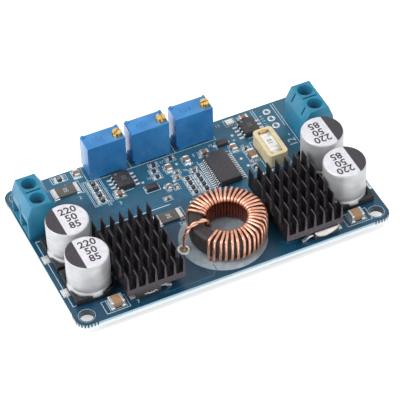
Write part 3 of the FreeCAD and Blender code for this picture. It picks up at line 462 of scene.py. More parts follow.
def merged(name, *pieces):
    """Several mesh objects in one material made into one piece."""
    whole = bmesh.new()
    for piece in pieces:
        whole.from_mesh(piece.data)
    mesh = bpy.data.meshes.new(name)
    whole.to_mesh(mesh)
    whole.free()
    for material in pieces[0].data.materials:
        mesh.materials.append(material)
    for piece in pieces:
        bpy.data.objects.remove(piece)
    return placed(name, mesh)


legend_white = mottled("White legend ink", 0.5, (158, 188, 202), (212, 226, 232), 0.6, (0.15, 0.006),
                       stops=(0.3, 0.6))

LEGEND_LOW, LEGEND_HIGH = BOARD_TOP - 0.01, BOARD_TOP + 0.03


def around(left, front, right, back):
    """The closed route round a box."""
    return [(left, front), (right, front), (right, back), (left, back), (left, front)]


legend_lines = [
    (0.15, [(-36.6, -16.7), (-37.65, -16.7), (-37.65, 5.2), (-36.2, 5.2)]),
    (0.13, around(-31.7, -22.05, -26.1, -18.25)),
    (0.13, around(28.0, -21.95, 34.2, -18.15)),
    (0.13, [(-19.3, 17.3), (-19.3, 22.9), (-9.0, 22.9)]),
    (0.13, [(-19.3, 17.6), (13.35, 17.6), (13.35, 22.9), (-9.0, 22.9)]),
    (0.13, [(-8.35, 17.6), (-8.35, 22.9)]),
    (0.13, [(2.95, 17.6), (2.95, 22.9)]),
    (0.12, [(-20.65, 9.85), (-20.65, 17.75), (-16.8, 17.75), (-16.8, 9.85), (-20.65, 9.85)]),
    (0.1, [(-21.0, 9.5), (-21.0, 18.1), (-16.45, 18.1), (-16.45, 9.5), (-21.0, 9.5)]),
    (0.13, [(-27.0, 20.65), (-27.0, 22.7), (-23.2, 22.7), (-23.2, 20.65), (-27.0, 20.65)]),
    (0.13, around(-21.75, 19.9, -19.85, 22.8)),
    (0.13, [(-21.9, 15.2), (-21.35, 15.2), (-21.35, 19.3), (-21.9, 19.3)]),
    (0.13, [(-28.4, 15.2), (-28.95, 15.2), (-28.95, 19.3), (-28.4, 19.3)]),
    (0.13, [(-4.0, -2.9), (-3.5, -2.9), (-3.5, 0.95), (-4.0, 0.95)]),
    (0.13, [(-10.6, -2.9), (-11.1, -2.9), (-11.1, 0.95), (-10.6, 0.95)]),
    (0.13, [(6.1, 1.9), (6.1, 12.6)]),
    (0.13, [(14.5, 1.9), (14.5, 12.6), (13.3, 12.9)]),
    (0.13, [(-10.6, 11.2), (-13.4, 11.2)]),
    (0.13, [(-10.6, 17.0), (-13.4, 17.0)]),
    (0.13, [(20.4, 14.3), (23.4, 14.3)]),
    (0.13, [(20.4, 20.0), (23.4, 20.0)]),
    (0.15, [(24.8, 22.7), (24.8, 12.6)]),
    (0.15, [(25.35, 22.7), (25.35, 12.6)]),
    (0.15, [(30.15, 22.7), (30.15, 14.6)]),
    (0.15, [(30.75, 22.7), (30.75, 5.5)]),
    (0.13, around(19.9, 2.6, 26.0, 12.9)),
    (0.13, [(17.4, 6.5), (17.4, 10.7), (19.4, 10.7)]),
    (0.22, [(-21.8, 2.75), (-5.2, 2.75)]),
    (0.13, [(-8.6, 8.2), (-8.6, 10.5), (-5.1, 10.5), (-5.1, 8.2), (-8.6, 8.2)]),
    (0.13, [(12.3, 14.2), (12.3, 16.5), (15.7, 16.5)]),
    (0.13, around(17.4, 20.2, 20.1, 22.4)),
    (0.13, [(0.6, 3.1), (0.6, 9.2)]),
    (0.13, [(3.15, 3.1), (3.15, 9.2)]),
    (0.13, [(5.65, 3.1), (5.65, 9.2)]),
]
points, faces = [], []
for width, route in legend_lines:
    looped = route[0] == route[-1]
    add_line(points, faces, route[:-1] if looped else route, width, LEGEND_LOW, LEGEND_HIGH, looped)
for mark_x in (-37.65, 38.05):
    for bar_y in (8.3, 13.3):
        add_prism(points, faces, box_outline(mark_x, bar_y, 0.3, 1.2), LEGEND_LOW, LEGEND_HIGH)
for step in range(7):
    add_prism(points, faces, box_outline(17.2 + 0.6 * step, 2.2, 0.3, 0.6), LEGEND_LOW, LEGEND_HIGH)
ring_radius, ring_width = 1.92, 0.07
for side_x in (-1, 1):
    for side_y in (-1, 1):
        ring = [(side_x * hole_x + ring_radius * math.cos(math.radians(9 * step)),
                 side_y * hole_y + ring_radius * math.sin(math.radians(9 * step))) for step in range(40)]
        add_line(points, faces, ring, ring_width, LEGEND_LOW, LEGEND_HIGH, True)
finished(new_piece("legend_lines", points, faces, legend_white), "laminate")

legend_words = [
    ("1", -29.2, 22.0, 1.2, 0), ("2", -22.9, 13.9, 1.0, 0), ("3", -15.2, 8.2, 1.0, 0),
    ("4", -0.9, 10.9, 0.9, 90), ("5", 6.4, 14.9, 0.9, 0), ("6", 17.0, 15.4, 0.9, 90),
    ("7", -24.0, -21.6, 1.0, 0), ("8", 24.8, -21.9, 1.0, 0), ("9", 12.2, -1.2, 1.2, 0),
    ("10", -13.2, 0.9, 1.0, 0), ("11", 27.5, 4.1, 1.0, 90), ("12", 15.6, 21.4, 0.9, 0),
    ("+", -31.0, 20.3, 1.5, 0), ("-", 33.2, 19.2, 1.5, 0), ("+", 26.6, 11.5, 1.4, 0),
    ("+", -25.2, -5.9, 1.3, 0), ("+", 25.6, -6.3, 1.3, 0), ("1", 6.9, 2.4, 0.8, 0),
    ("13", -27.9, 7.2, 1.0, 0), ("14", 32.0, 4.4, 1.0, 0),
    ("12 -", 29.4, 9.6, 2.0, 90), ("0 1 2 3 4", 26.3, 18.1, 0.8, 90), ("5 6 7", 33.3, 18.6, 0.8, 90),
    ("15", -17.6, 8.9, 0.8, 0), ("16", -6.2, 12.6, 0.8, 0), ("17", -1.3, 16.2, 0.8, 0),
    ("18", 8.6, 15.6, 0.8, 0), ("19", 11.2, 16.2, 0.8, 0), ("20", 0.6, 1.7, 0.8, 0),
    ("21", 3.2, 2.2, 0.8, 90),
    ("22", -5.4, -4.0, 0.9, 0), ("23", 17.9, 12.7, 0.8, 0), ("24", -24.6, 18.9, 0.8, 90),
    ("25", -1.7, 13.6, 0.8, 90), ("26", 2.5, 11.4, 0.7, 0), ("27", 6.2, 1.1, 0.7, 0),
]
words = [stamp(f"word_{number}", text, x, y, height, legend_white, BOARD_TOP + 0.015, turn)
         for number, (text, x, y, height, turn) in enumerate(legend_words)]
finished(merged("legend_numbers", *words), "laminate")

solder_bright = mottled("Bright solder", 0.7, (206, 209, 212), (240, 241, 242), (0.5, 0.2, 0.38),
                        (0.4, 0.03), metallic=0.45)


def add_turned(points, faces, profile, x, y, sides):
    """A lathe form round an upright axis: its profile is given as radius and height."""
    first = len(points)
    for ray in range(sides):
        angle = math.radians(360.0 * ray / sides)
        for radius, height in profile:
            points.append((x + radius * math.cos(angle), y + radius * math.sin(angle), height))
    count = len(profile)
    for ray in range(sides):
        here, there = first + ray * count, first + (ray + 1) % sides * count
        for step in range(count - 1):
            corners = [here + step, there + step, there + step + 1, here + step + 1]
            if profile[step][0] == 0:
                corners = corners[1:]
                corners[-1] = here + 1 + step
            elif profile[step + 1][0] == 0:
                corners = corners[:3]
            faces.append(corners)


test_pads = ((-15.3, 10.6), (-8.0, 12.0), (-4.2, 8.2), (-1.3, 9.2), (1.6, 14.1), (4.4, 12.6), (7.4, 13.6),
             (9.2, 14.6), (12.0, 15.6), (15.9, 9.0), (16.4, 6.2), (17.4, 17.0), (-0.6, 1.2), (4.9, 1.6),
             (-22.8, 16.2), (-24.6, 10.6), (25.4, 9.6))
studs("test_pads", "Round bare pads", 16, solder_bright, 0.36, 0.05,
      [(x, y, BOARD_TOP + 0.01) for x, y in test_pads])

ring_places = [(28.3, 18.1 + step * 2.6, 0.5, 0.97) for step in (-1, 0, 1)]
lead_hole_x, lead_hole_y = -8.4, -11.65
ring_places += [(lead_hole_x, lead_hole_y, 0.8, 1.7)]
points, faces = [], []
for x, y, hole, rim in ring_places:
    for low, high in ((BOARD_TOP, BOARD_TOP + 0.035), (-0.035, 0.0)):
        profile = [(hole + 0.02, low), (rim, low), (rim, high), (hole + 0.02, high), (hole + 0.02, low)]
        add_turned(points, faces, profile, x, y, 28)
finished(new_piece("tinned_rings", points, faces, solder_bright, True), "tinned")

coil_mark = mottled("Grey ground under the coil", 1.4, (142, 158, 168), (170, 184, 192), 0.45, (0.3, 0.01))
points, faces = [], []
add_turned(points, faces, [(0, BOARD_TOP + 0.02), (10.2, BOARD_TOP + 0.02), (10.2, BOARD_TOP - 0.01)],
           1.1, -12.25, 72)
finished(new_piece("coil_ground", points, faces, coil_mark), "laminate")

edge_nick = mottled("Cut fibre at a corner", 0.2, (12, 20, 26), (34, 48, 54), 0.8)
corner_radius, nick_pitch = 2.6, 0.76
nick_places = []
for corner_x in (-1, 1):
    for corner_y in (-1, 1):
        for step in range(-5, 6):
            travel = abs(step) * nick_pitch
            bend = min(travel / corner_radius, math.pi / 4)
            turn = math.pi / 4 + math.copysign(bend, step)
            straight = travel - bend * corner_radius
            across = board_half_x - corner_radius + (corner_radius - 0.13) * math.cos(turn)
            along = board_half_y - corner_radius + (corner_radius - 0.13) * math.sin(turn)
            if step > 0:
                across -= straight
            else:
                along -= straight
            nick_places.append((corner_x * across, corner_y * along, BOARD_TOP - 0.44))
studs("edge_tool_marks", "Tool marks", 8, edge_nick, 0.2, 0.9, nick_places)


# The terminal blocks are moulded in blue plastic, two poles each. Wire goes in from the board
# edge under the bevel, into a steel frame in which a screw presses a leaf down on the wire.
def merged_copy(node, name, material, bevel=0.0):
    """A copy of a solid with its flat faces joined, and its edges rounded by a bevel in millimetres."""
    mesh = solids[node].data.copy()
    mesh.name = name
    mesh.materials.clear()
    mesh.materials.append(material)
    joined = bmesh.new()
    joined.from_mesh(mesh)
    bmesh.ops.remove_doubles(joined, verts=joined.verts, dist=0.01 * MM)
    bmesh.ops.dissolve_limit(joined, angle_limit=math.radians(2), verts=joined.verts, edges=joined.edges)
    joined.to_mesh(mesh)
    joined.free()
    mesh.validate()
    mesh.polygons.foreach_set("use_smooth", [bevel > 0] * len(mesh.polygons))
    copy = placed(name, mesh)
    if bevel > 0:
        rounding = copy.modifiers.new("Rounded edges", "BEVEL")
        rounding.width = bevel * MM
        rounding.segments = 2
        rounding.limit_method = "ANGLE"
        rounding.angle_limit = math.radians(30)
        rounding.harden_normals = True
    return copy


def dressed(node, name, material, slot, bevel, body="module"):
    """A solid's copy with rounded edges, finished in the place of the solid."""
    return finished(merged_copy(node, name, material, bevel), slot, node, body=body)


terminal_plastic, tree, shader, where = new_finish("Blue terminal plastic")
cloud = between(tree, grain(tree, where, 3.0), (0.3, (32, 120, 154)), (0.7, (44, 136, 170)))
fleck = between(tree, grain(tree, where, 0.25), (0.4, (26, 110, 144)), (0.7, (58, 146, 180)))
tree.links.new(blended(tree, 0.3, cloud, fleck), shader.inputs["Base Color"])
tree.links.new(spread(tree, grain(tree, where, 1.0), 0.34, 0.5), shader.inputs["Roughness"])
relief(tree, shader, grain(tree, where, 0.12), 0.012)

terminal_y, pole_half_pitch, seam_reach = 11.33, 2.54, 2.28
for side in ("left", "right"):
    dressed(f"terminal_housing_{side}", f"terminal_block_{side}", terminal_plastic, "terminal_blue", 0.14)

    # Low upright ribs stand on both sides of each wire opening
    out = -1 if side == "left" else 1
    wall = out * (board_half_x - 0.3)
    points, faces = [], []
    for pole in (-1, 1):
        for edge in (-1, 1):
            seam_y = terminal_y + pole * pole_half_pitch + edge * seam_reach
            add_prism(points, faces, box_outline(wall + out * 0.05, seam_y, 0.16, 0.3),
                      BOARD_TOP + 0.6, BOARD_TOP + 6.7)
    ribs = new_piece(f"terminal_ribs_{side}", points, faces, terminal_plastic)
    finished(ribs, "terminal_blue")

clamp_steel = mottled("Plated clamp steel", 0.8, (150, 152, 152), (206, 206, 202),
                      ((0.3, 3.0, (0.2, 1, 1)), 0.24, 0.42), ((0.3, 3.0, (0.2, 1, 1)), 0.01), metallic=0.9)
for number in range(1, 5):
    for solid, title, body in ((f"terminal_frame_{number}", f"clamp_cage_{number}", "module"),
                               (f"clamp_leaf_{number}", f"clamp_plate_{number}", f"clamp_leaf_{number}"),
                               (f"clamp_screw_{number}", f"clamp_bolt_{number}", f"clamp_screw_{number}")):
        dressed(solid, title, clamp_steel, "plated_steel", 0.08, body)


# The four electrolytic capacitors: a drawn aluminium can rolled over a black moulded base, with
# a printed crescent on the top. The can is crimped near its foot and the base has raised corners.
can_satin = mottled("Satin can aluminium", (3.0, 2.0, (1, 1, 2)), (190, 192, 194), (209, 210, 212),
                    (0.5, 0.4, 0.48), ((0.35, 2.0, (1, 1, 3)), 0.003, 0.3), metallic=0.4)
can_top = mottled("Pale coated can top", 0.9, (212, 210, 218), (230, 228, 235), 0.5, (0.2, 0.006))
can_print = mottled("Dark print on a can", 0.4, (46, 42, 48), (68, 63, 70), 0.55)


def quarter_arc(middle_radius, middle_height, bend, start):
    """Six points of a quarter circle, as radius and height, from an angle in degrees."""
    angles = [math.radians(start + 90 * step / 5) for step in range(6)]
    return [(middle_radius + bend * math.cos(angle), middle_height + bend * math.sin(angle))
            for angle in angles]


# Middle of each can, and the side of it that faces out of the board
can_places = ((-31.75, -12.05, -1), (-31.75, -0.8, -1), (32.0, -12.05, 1), (32.0, -0.8, 1))
can_foot, can_high, can_radius, can_edge = 2.4, 12.1, 5.0, 0.55
can_half = [(0, can_foot), (4.7, can_foot), (5.06, can_foot + 0.06), (5.14, can_foot + 0.25),
            (5.1, can_foot + 0.5), (4.92, can_foot + 0.9), (4.68, can_foot + 1.18), (4.6, can_foot + 1.28),
            (4.66, can_foot + 1.38), (4.82, can_foot + 1.7), (4.94, can_foot + 2.2), (5.0, can_foot + 3.0)]
can_half += [*quarter_arc(can_radius - can_edge, can_high - can_edge, can_edge, 0), (0, can_high)]
crescent_steps, chord, rim = 22, 1.8, 4.84
for number, (x, y, way) in enumerate(can_places, start=1):
    points, faces = [], []
    add_turned(points, faces, can_half, x, y, 96)
    shell = new_piece(f"capacitor_shell_{number}", points, faces, can_satin, True)
    shell.data.materials.append(can_top)
    for face in shell.data.polygons:
        if face.center.z > (can_high - 0.12) * MM:
            face.material_index = 1
    finished(shell, "can_aluminium", f"capacitor_can_{number}")

    # The printed crescent lies on the outer side of the top, with plain numbers beside it
    widest = math.acos(chord / rim)
    angles = [widest * (1 - 2 * step / crescent_steps) for step in range(crescent_steps + 1)]
    outline = [(x + way * rim * math.cos(angle), y + rim * math.sin(angle)) for angle in angles]
    if way == 1:
        outline.reverse()
    points, faces = [], []
    add_prism(points, faces, outline, can_high - 0.02, can_high + 0.012)
    crescent = new_piece("crescent", points, faces, can_print)
    marks = [crescent]
    for line, text in enumerate(("220", "50", "85")):
        marks.append(stamp(f"mark_{line}", text, x - way * 1.05, y - way * 2.35 * (1 - line), 2.0, can_print,
                           can_high, turn=90 + 90 * way, weight=0.06))
    finished(merged(f"capacitor_print_{number}", *marks), "can_aluminium")

base_plastic = mottled("Black base plastic", 0.6, (20, 18, 22), (40, 37, 41), (0.4, 0.4, 0.55),
                       (0.15, 0.01))
for number in range(1, 5):
    dressed(f"capacitor_base_{number}", f"capacitor_foot_{number}", base_plastic, "base_black", 0.12)


def solder_fillets(points, faces, x, y, across, along, height, spread_out):
    """Solder drawn up the foot of an end cap: a skirt from the pad to the metal."""
    first = len(points)
    steps = ((spread_out, 0.0), (spread_out * 0.45, height * 0.3), (spread_out * 0.12, height * 0.75),
             (-0.02, height * 0.9))
    for out, rise in steps:
        for side_x, side_y in SQUARE:
            points.append((x + side_x * (across / 2 + out), y + side_y * (along / 2 + out), BOARD_TOP + rise))
    for ring in range(len(steps) - 1):
        for side in range(4):
            other = (side + 1) % 4
            low, high = first + 4 * ring, first + 4 * (ring + 1)
            faces.append([low + side, low + other, high + other, high + side])


tab_points, tab_faces = [], []
for x, y, way in can_places:
    for reach, side in ((1.5, 1), (1.3, -1)):
        tab_x = x + way * side * (5.15 + reach / 2)
        add_prism(tab_points, tab_faces, box_outline(tab_x, y, reach + 0.1, 2.5),
                  BOARD_TOP - 0.01, BOARD_TOP + 0.05, 0.05)
        solder_fillets(tab_points, tab_faces, tab_x, y, reach - 0.3, 1.9, 0.3, 0.12)
finished(new_piece("capacitor_pads", tab_points, tab_faces, solder_bright), "tinned")

tinned = mottled("Tinned lead metal", 0.4, (196, 198, 200), (236, 236, 234), (0.3, 0.22, 0.4), (0.2, 0.01),
                 metallic=0.6)
dressed("capacitor_tabs", "capacitor_tab_strips", tinned, "tinned", 0.05)


# Three trimmers in blue moulded cases with feet. A slotted brass screw in the roof of each sets
# the value, and small plain nubs on the roof keep it off the packing.
trimmer_plastic = mottled("Blue trimmer plastic", 4.0, (38, 120, 186), (54, 138, 204), (1.0, 0.3, 0.38),
                          (0.4, 0.002), coat_weight=0.45, coat_roughness=0.12)
trimmer_ink = mottled("Moulded figures on a trimmer", 0.3, (34, 96, 158), (50, 116, 176), 0.4)
turned_brass = mottled("Turned brass", 0.5, (212, 170, 96), (246, 216, 146), (0.3, 0.2, 0.36),
                       ((0.25, 2.0, (1, 1, 3)), 0.012), metallic=0.95)

trimmer_walls, trimmer_front, trimmer_roof = (-18.8, -7.7, 3.55), 17.95, 11.605
for number, wall in enumerate(trimmer_walls, start=1):
    case, screw = f"trimmer_body_{number}", f"trimmer_screw_{number}"
    dressed(case, f"trimmer_case_{number}", trimmer_plastic, "trimmer_blue", 0.16)
    dressed(screw, f"trimmer_bolt_{number}", turned_brass, "brass", 0.09, screw)
    figures = stamp("figures", str(100 + number), wall + 3.4, trimmer_front + 2.3, 1.5, trimmer_ink,
                    trimmer_roof)
    finished(merged(f"trimmer_figures_{number}", figures), "trimmer_blue")
dressed("trimmer_pins", "trimmer_pin_rows", tinned, "tinned", 0.05)


# Two black anodised heatsinks, extruded with seven fins each and then cut across four times, so
# that only low ridges are left between the teeth. Each is stuck on two power transistors.
anodised, tree, shader, where = new_finish("Black anodised aluminium")
facing, slot_floor = parts_of(tree, tree.nodes["Texture Coordinate"].outputs["Normal"]), 6.9
# The fin walls and the floors between the fins are painted near black and the fin tops and sawn fronts paler:
# partly the dark extruded skin against bare sawn faces, partly painted shade down between the fins and a
# painted highlight on the fin tops
on_wall = maths(tree, "GREATER_THAN", maths(tree, "ABSOLUTE", facing["X"]), 0.6)
on_floor = maths(tree, "MULTIPLY", maths(tree, "GREATER_THAN", facing["Z"], 0.7),
                 maths(tree, "LESS_THAN", parts_of(tree, where)["Z"], slot_floor * MM))
sawn_and_lit = between(tree, grain(tree, where, 0.5, 3.0, (1, 0.3, 1)), (0.3, (62, 55, 62)), (0.7, (84, 76, 84)))
drawn = between(tree, grain(tree, where, 1.2, 2.0, (1, 0.15, 1)), (0.3, (12, 10, 13)), (0.7, (22, 19, 24)))
tree.links.new(blended(tree, maths(tree, "MAXIMUM", on_wall, on_floor), sawn_and_lit, drawn),
               shader.inputs["Base Color"])
shader.inputs["Metallic"].default_value = 0.1
shader.inputs["Specular IOR Level"].default_value = 0.3
tree.links.new(spread(tree, grain(tree, where, 0.4, 2.0, (1, 0.1, 1)), 0.42, 0.56),
               shader.inputs["Roughness"])
relief(tree, shader, grain(tree, where, 0.18, 2.0, (1, 0.08, 1)), 0.01)
fin_pitch, fin_top = 2.25, 9.8
for side, first_fin in (("left", -19.45 - 3 * fin_pitch), ("right", 19.35 - 3 * fin_pitch)):
    block = merged_copy(f"heatsink_{side}", f"finned_block_{side}", anodised, 0.09)
    for corner in block.data.vertices:
        if corner.co.z > (fin_top - 0.05) * MM:
            fin = first_fin + fin_pitch * round((corner.co.x / MM - first_fin) / fin_pitch)
            corner.co.x = (fin + (corner.co.x / MM - fin) * 0.4) * MM
    finished(block, "anodised_black", f"heatsink_{side}")

chip_plastic = mottled("Moulded chip plastic", 0.5, (44, 43, 46), (66, 64, 68), (0.3, 0.42, 0.6),
                       (0.1, 0.012))
for number in range(1, 5):
    dressed(f"power_transistor_{number}", f"transistor_body_{number}", chip_plastic, "chip_black", 0.12)
dressed("power_transistor_metal", "transistor_tabs_and_leads", tinned, "tinned", 0.07)

adhesive_white = mottled("White thermal adhesive", 0.8, (216, 216, 212), (240, 240, 238), 0.42, (0.6, 0.05),
                         subsurface_weight=0.1, subsurface_radius=(0.0005, 0.0005, 0.0005))


def loose_boxes(node):
    """Lowest and highest corner of each separate solid of a node, in millimetres."""
    cloud = bmesh.new()
    cloud.from_mesh(solids[node].data)
    bmesh.ops.remove_doubles(cloud, verts=cloud.verts, dist=0.01 * MM)
    boxes, seen = [], set()
    for start in cloud.verts:
        if start in seen:
            continue
        seen.add(start)
        found, edge = [], [start]
        while edge:
            vertex = edge.pop()
            found.append(vertex.co / MM)
            for link in vertex.link_edges:
                other = link.other_vert(vertex)
                if other not in seen:
                    seen.add(other)
                    edge.append(other)
        boxes.append((Vector(min(spot[axis] for spot in found) for axis in range(3)),
                      Vector(max(spot[axis] for spot in found) for axis in range(3))))
    cloud.free()
    return sorted(boxes, key=lambda box: (round(box[0].x, 3), round(box[0].y, 3)))


random.seed(11)
points, faces = [], []
for low, high in loose_boxes("thermal_adhesive"):
    middle = (low + high) / 2
    first = len(points)
    rays = 40
    swell = [1.0 + 0.05 * random.uniform(-1, 1) for ray in range(rays)]
    swell = [(swell[ray - 1] + swell[ray] + swell[(ray + 1) % rays]) / 3 for ray in range(rays)]
    rings = ((0.0, low.z), (0.96, low.z), (1.02, low.z + 0.06), (1.04, (low.z + high.z) / 2),
             (1.02, high.z - 0.06), (0.96, high.z), (0.0, high.z))
    for share, level in rings:
        for ray in range(rays):
            angle = 2 * math.pi * ray / rays
            across = abs(math.cos(angle)) ** 0.5 * math.copysign(1, math.cos(angle))
            along = abs(math.sin(angle)) ** 0.5 * math.copysign(1, math.sin(angle))
            points.append((middle.x + 2.45 * share * swell[ray] * across,
                           middle.y + 2.45 * share * swell[ray] * along, level))
    for ring in range(len(rings) - 1):
        for ray in range(rays):
            other = (ray + 1) % rays
            here, there = first + ring * rays, first + (ring + 1) * rays
            faces.append([here + ray, here + other, there + other, there + ray])
finished(new_piece("adhesive_patches", points, faces, adhesive_white, True), "adhesive_white",
         "thermal_adhesive")


def add_squeeze(points, faces, spine, wall_y, proud):
    """Adhesive squeezed out over a front face: x, lowest and highest level at each step of the spine."""
    first = len(points)
    for x, low, high in spine:
        middle = (low + high) / 2
        for level, out in ((low, 0.0), (low + (middle - low) * 0.3, 0.7), (middle, 1.0),
                           (high - (high - middle) * 0.3, 0.8), (high, 0.0)):
            points.append((x, wall_y - out * proud * min(1.0, (high - low) * 1.6), level))
    for step in range(len(spine) - 1):
        for ring in range(4):
            here, there = first + 5 * step + ring, first + 5 * (step + 1) + ring
            faces.append([here, there, there + 1, here + 1])
        back_here, back_there = first + 5 * step, first + 5 * (step + 1)
        faces.append([back_here + 4, back_there + 4, back_there, back_here])


points, faces = [], []
wedge = []
for step in range(15):
    share = step / 14
    depth = 1.9 * math.sin(math.pi * share ** 0.85) ** 0.7 if 0 < share < 1 else 0.02
    wedge.append((19.2 + 6.0 * share, 4.12 - depth - 0.06, 4.16))
add_squeeze(points, faces, wedge, -22.44, 0.42)
bead = []
for step in range(17):
    share = step / 16
    level = 2.62 + 0.16 * math.sin(step * 1.7) + 0.1 * math.sin(step * 0.6)
    half = 0.24 * math.sin(math.pi * share) ** 0.5 * (0.7 + 0.3 * math.cos(step * 2.3)) + 0.01
    bead.append((-22.6 + 3.8 * share, level - half, level + half))
add_squeeze(points, faces, bead, -21.1, 0.3)
finished(new_piece("adhesive_beads", points, faces, adhesive_white, True), "adhesive_white")


# The inductor: a coated ferrite ring with two strands of enamelled copper wound side by side.
# Both strands come up through the board, pass round the ring and end over it in a twisted lead.
COIL_X, COIL_Y = 2.4, -11.65
core_coat, tree, shader, where = new_finish("Dark coated ferrite")
core_specks = between(tree, grain(tree, where, 0.28, 4.0), (0.42, (30, 27, 28)), (0.56, (50, 46, 47)),
                      (0.72, (96, 70, 54)))
tree.links.new(core_specks, shader.inputs["Base Color"])
tree.links.new(spread(tree, grain(tree, where, 0.3), 0.45, 0.7), shader.inputs["Roughness"])
relief(tree, shader, grain(tree, where, 0.3, 4.0), 0.05)
core_low, core_high, core_out, core_in = BOARD_TOP + 0.82, BOARD_TOP + 6.02, 8.7, 5.25
low_bend, high_bend = 0.5, 0.9
core_half = [*quarter_arc(core_out - low_bend, core_low + low_bend, low_bend, 270),
             *quarter_arc(core_out - high_bend, core_high - high_bend, high_bend, 0),
             *quarter_arc(core_in + high_bend, core_high - high_bend, high_bend, 90),
             *quarter_arc(core_in + low_bend, core_low + low_bend, low_bend, 180)]
core_half.append(core_half[0])
points, faces = [], []
add_turned(points, faces, core_half, COIL_X, COIL_Y, 120)
finished(new_piece("ferrite_ring", points, faces, core_coat, True), "core_grey", "inductor_core")

copper, tree, shader, where = new_finish("Enamelled copper wire")
bright_copper = between(tree, grain(tree, where, 1.1), (0.3, (216, 146, 118)), (0.7, (244, 192, 166)))
hole_shade_copper = between(tree, grain(tree, where, 0.8), (0.3, (112, 44, 28)), (0.7, (156, 76, 50)))

# Inside the hole of the ring the wire is painted darker, painted shade in the hole
wire_place = parts_of(tree, where)
axis_distance = from_axis(tree, *(maths(tree, "SUBTRACT", wire_place[axis], middle * MM)
                                  for axis, middle in (("X", COIL_X), ("Y", COIL_Y))))
in_hole = maths(tree, "MULTIPLY", maths(tree, "LESS_THAN", axis_distance, 5.2 * MM),
                maths(tree, "LESS_THAN", wire_place["Z"], 7.3 * MM))
tree.links.new(blended(tree, in_hole, bright_copper, hole_shade_copper), shader.inputs["Base Color"])
shader.inputs["Metallic"].default_value = 0.8
tree.links.new(spread(tree, grain(tree, where, 0.6), 0.26, 0.38), shader.inputs["Roughness"])
shader.inputs["Coat Weight"].default_value = 0.5
shader.inputs["Coat Roughness"].default_value = 0.15
relief(tree, shader, grain(tree, where, 0.5), 0.02)

wire_radius, outer_reach, inner_reach = 0.35, 9.11, 4.84
wire_low, wire_high = 0.41, 6.43
strand_turns, first_angle, winding_sweep = 17, 218.0, 289.0
strand_step = winding_sweep / (2 * strand_turns - 0.5)
turn_points = 48
foot_pairing, turn_pairing = 0.85, 0.97

coil_tree, coil_in, coil_out = new_tree(
    "Strand round a ring", "Turns", "Outer reach", "Inner reach", "Lowest", "Highest", "First angle",
    "Turn angle", "Wire radius", "Squareness", "Looseness", "Strand")


def coil_sum(operation, *terms):
    """One sum in the strand's tree."""
    return maths(coil_tree, operation, *terms)


def share_of(first, second):
    """The middle of two sizes and half the way between them."""
    return coil_sum("MULTIPLY", coil_sum("ADD", first, second), 0.5), \
        coil_sum("MULTIPLY", coil_sum("SUBTRACT", first, second), 0.5)


line = add_node(coil_tree, "GeometryNodeMeshLine", {
    "Count": coil_sum("ADD", coil_sum("MULTIPLY", coil_in["Turns"], turn_points), 1 - turn_points / 2)})
turns_done = coil_sum("DIVIDE", add_node(coil_tree, "GeometryNodeInputIndex").outputs[0], turn_points)
whole_turns = coil_sum("FLOOR", turns_done)
phase = coil_sum("MULTIPLY", coil_sum("SUBTRACT", turns_done, whole_turns), 2 * math.pi)
cosine, sine = coil_sum("COSINE", phase), coil_sum("SINE", phase)
rounded = [coil_sum("MULTIPLY", coil_sum("POWER", coil_sum("ABSOLUTE", wave), coil_in["Squareness"]),
                    coil_sum("SIGN", wave)) for wave in (cosine, sine)]
middle_reach, half_reach = share_of(coil_in["Outer reach"], coil_in["Inner reach"])
middle_level, half_level = share_of(coil_in["Highest"], coil_in["Lowest"])
looseness = add_node(coil_tree, "FunctionNodeRandomValue", {
    2: coil_sum("MULTIPLY", coil_in["Looseness"], -1), 3: coil_in["Looseness"], "ID": whole_turns,
    "Seed": coil_sum("ADD", coil_in["Strand"], 5)}, data_type="FLOAT")
reach = coil_sum("MULTIPLY_ADD", half_reach, rounded[0], middle_reach)
inward = coil_sum("DIVIDE", coil_sum("SUBTRACT", coil_in["Outer reach"], reach),
                  coil_sum("MULTIPLY", half_reach, 2))

# Over the ring a turn goes a quarter of its way along, and the rest below it
below = coil_sum("LESS_THAN", sine, 0.0)
above = coil_sum("SUBTRACT", 1.0, below)
under_way = coil_sum("SUBTRACT", 1.0, coil_sum("MULTIPLY", inward, 0.75))
share = coil_sum("ADD", coil_sum("MULTIPLY", below, under_way),
                 coil_sum("MULTIPLY", above, coil_sum("MULTIPLY", inward, 0.25)))
angle = coil_sum("MULTIPLY_ADD", coil_sum("ADD", whole_turns, share), coil_in["Turn angle"],
                 coil_sum("ADD", coil_in["First angle"], coil_sum("MULTIPLY", looseness.outputs[1], above)))
spot = add_node(coil_tree, "ShaderNodeCombineXYZ", {
    "X": coil_sum("MULTIPLY", reach, coil_sum("COSINE", angle)),
    "Y": coil_sum("MULTIPLY", reach, coil_sum("SINE", angle)),
    "Z": coil_sum("MULTIPLY_ADD", half_level, rounded[1], middle_level)})
moved = add_node(coil_tree, "GeometryNodeSetPosition",
                 {"Geometry": line.outputs["Mesh"], "Position": spot.outputs[0]})
as_curve = add_node(coil_tree, "GeometryNodeMeshToCurve", {"Mesh": moved.outputs["Geometry"]})
wire_round = add_node(coil_tree, "GeometryNodeCurvePrimitiveCircle",
                      {"Resolution": 12, "Radius": coil_in["Wire radius"]})
wire_skin = add_node(coil_tree, "GeometryNodeCurveToMesh", {
    "Curve": as_curve.outputs["Curve"], "Profile Curve": wire_round.outputs["Curve"], "Fill Caps": True})
wire_smooth = add_node(coil_tree, "GeometryNodeSetShadeSmooth", {"Geometry": wire_skin.outputs["Mesh"]})
close_tree(coil_tree, wire_smooth.outputs["Geometry"], copper, coil_out)


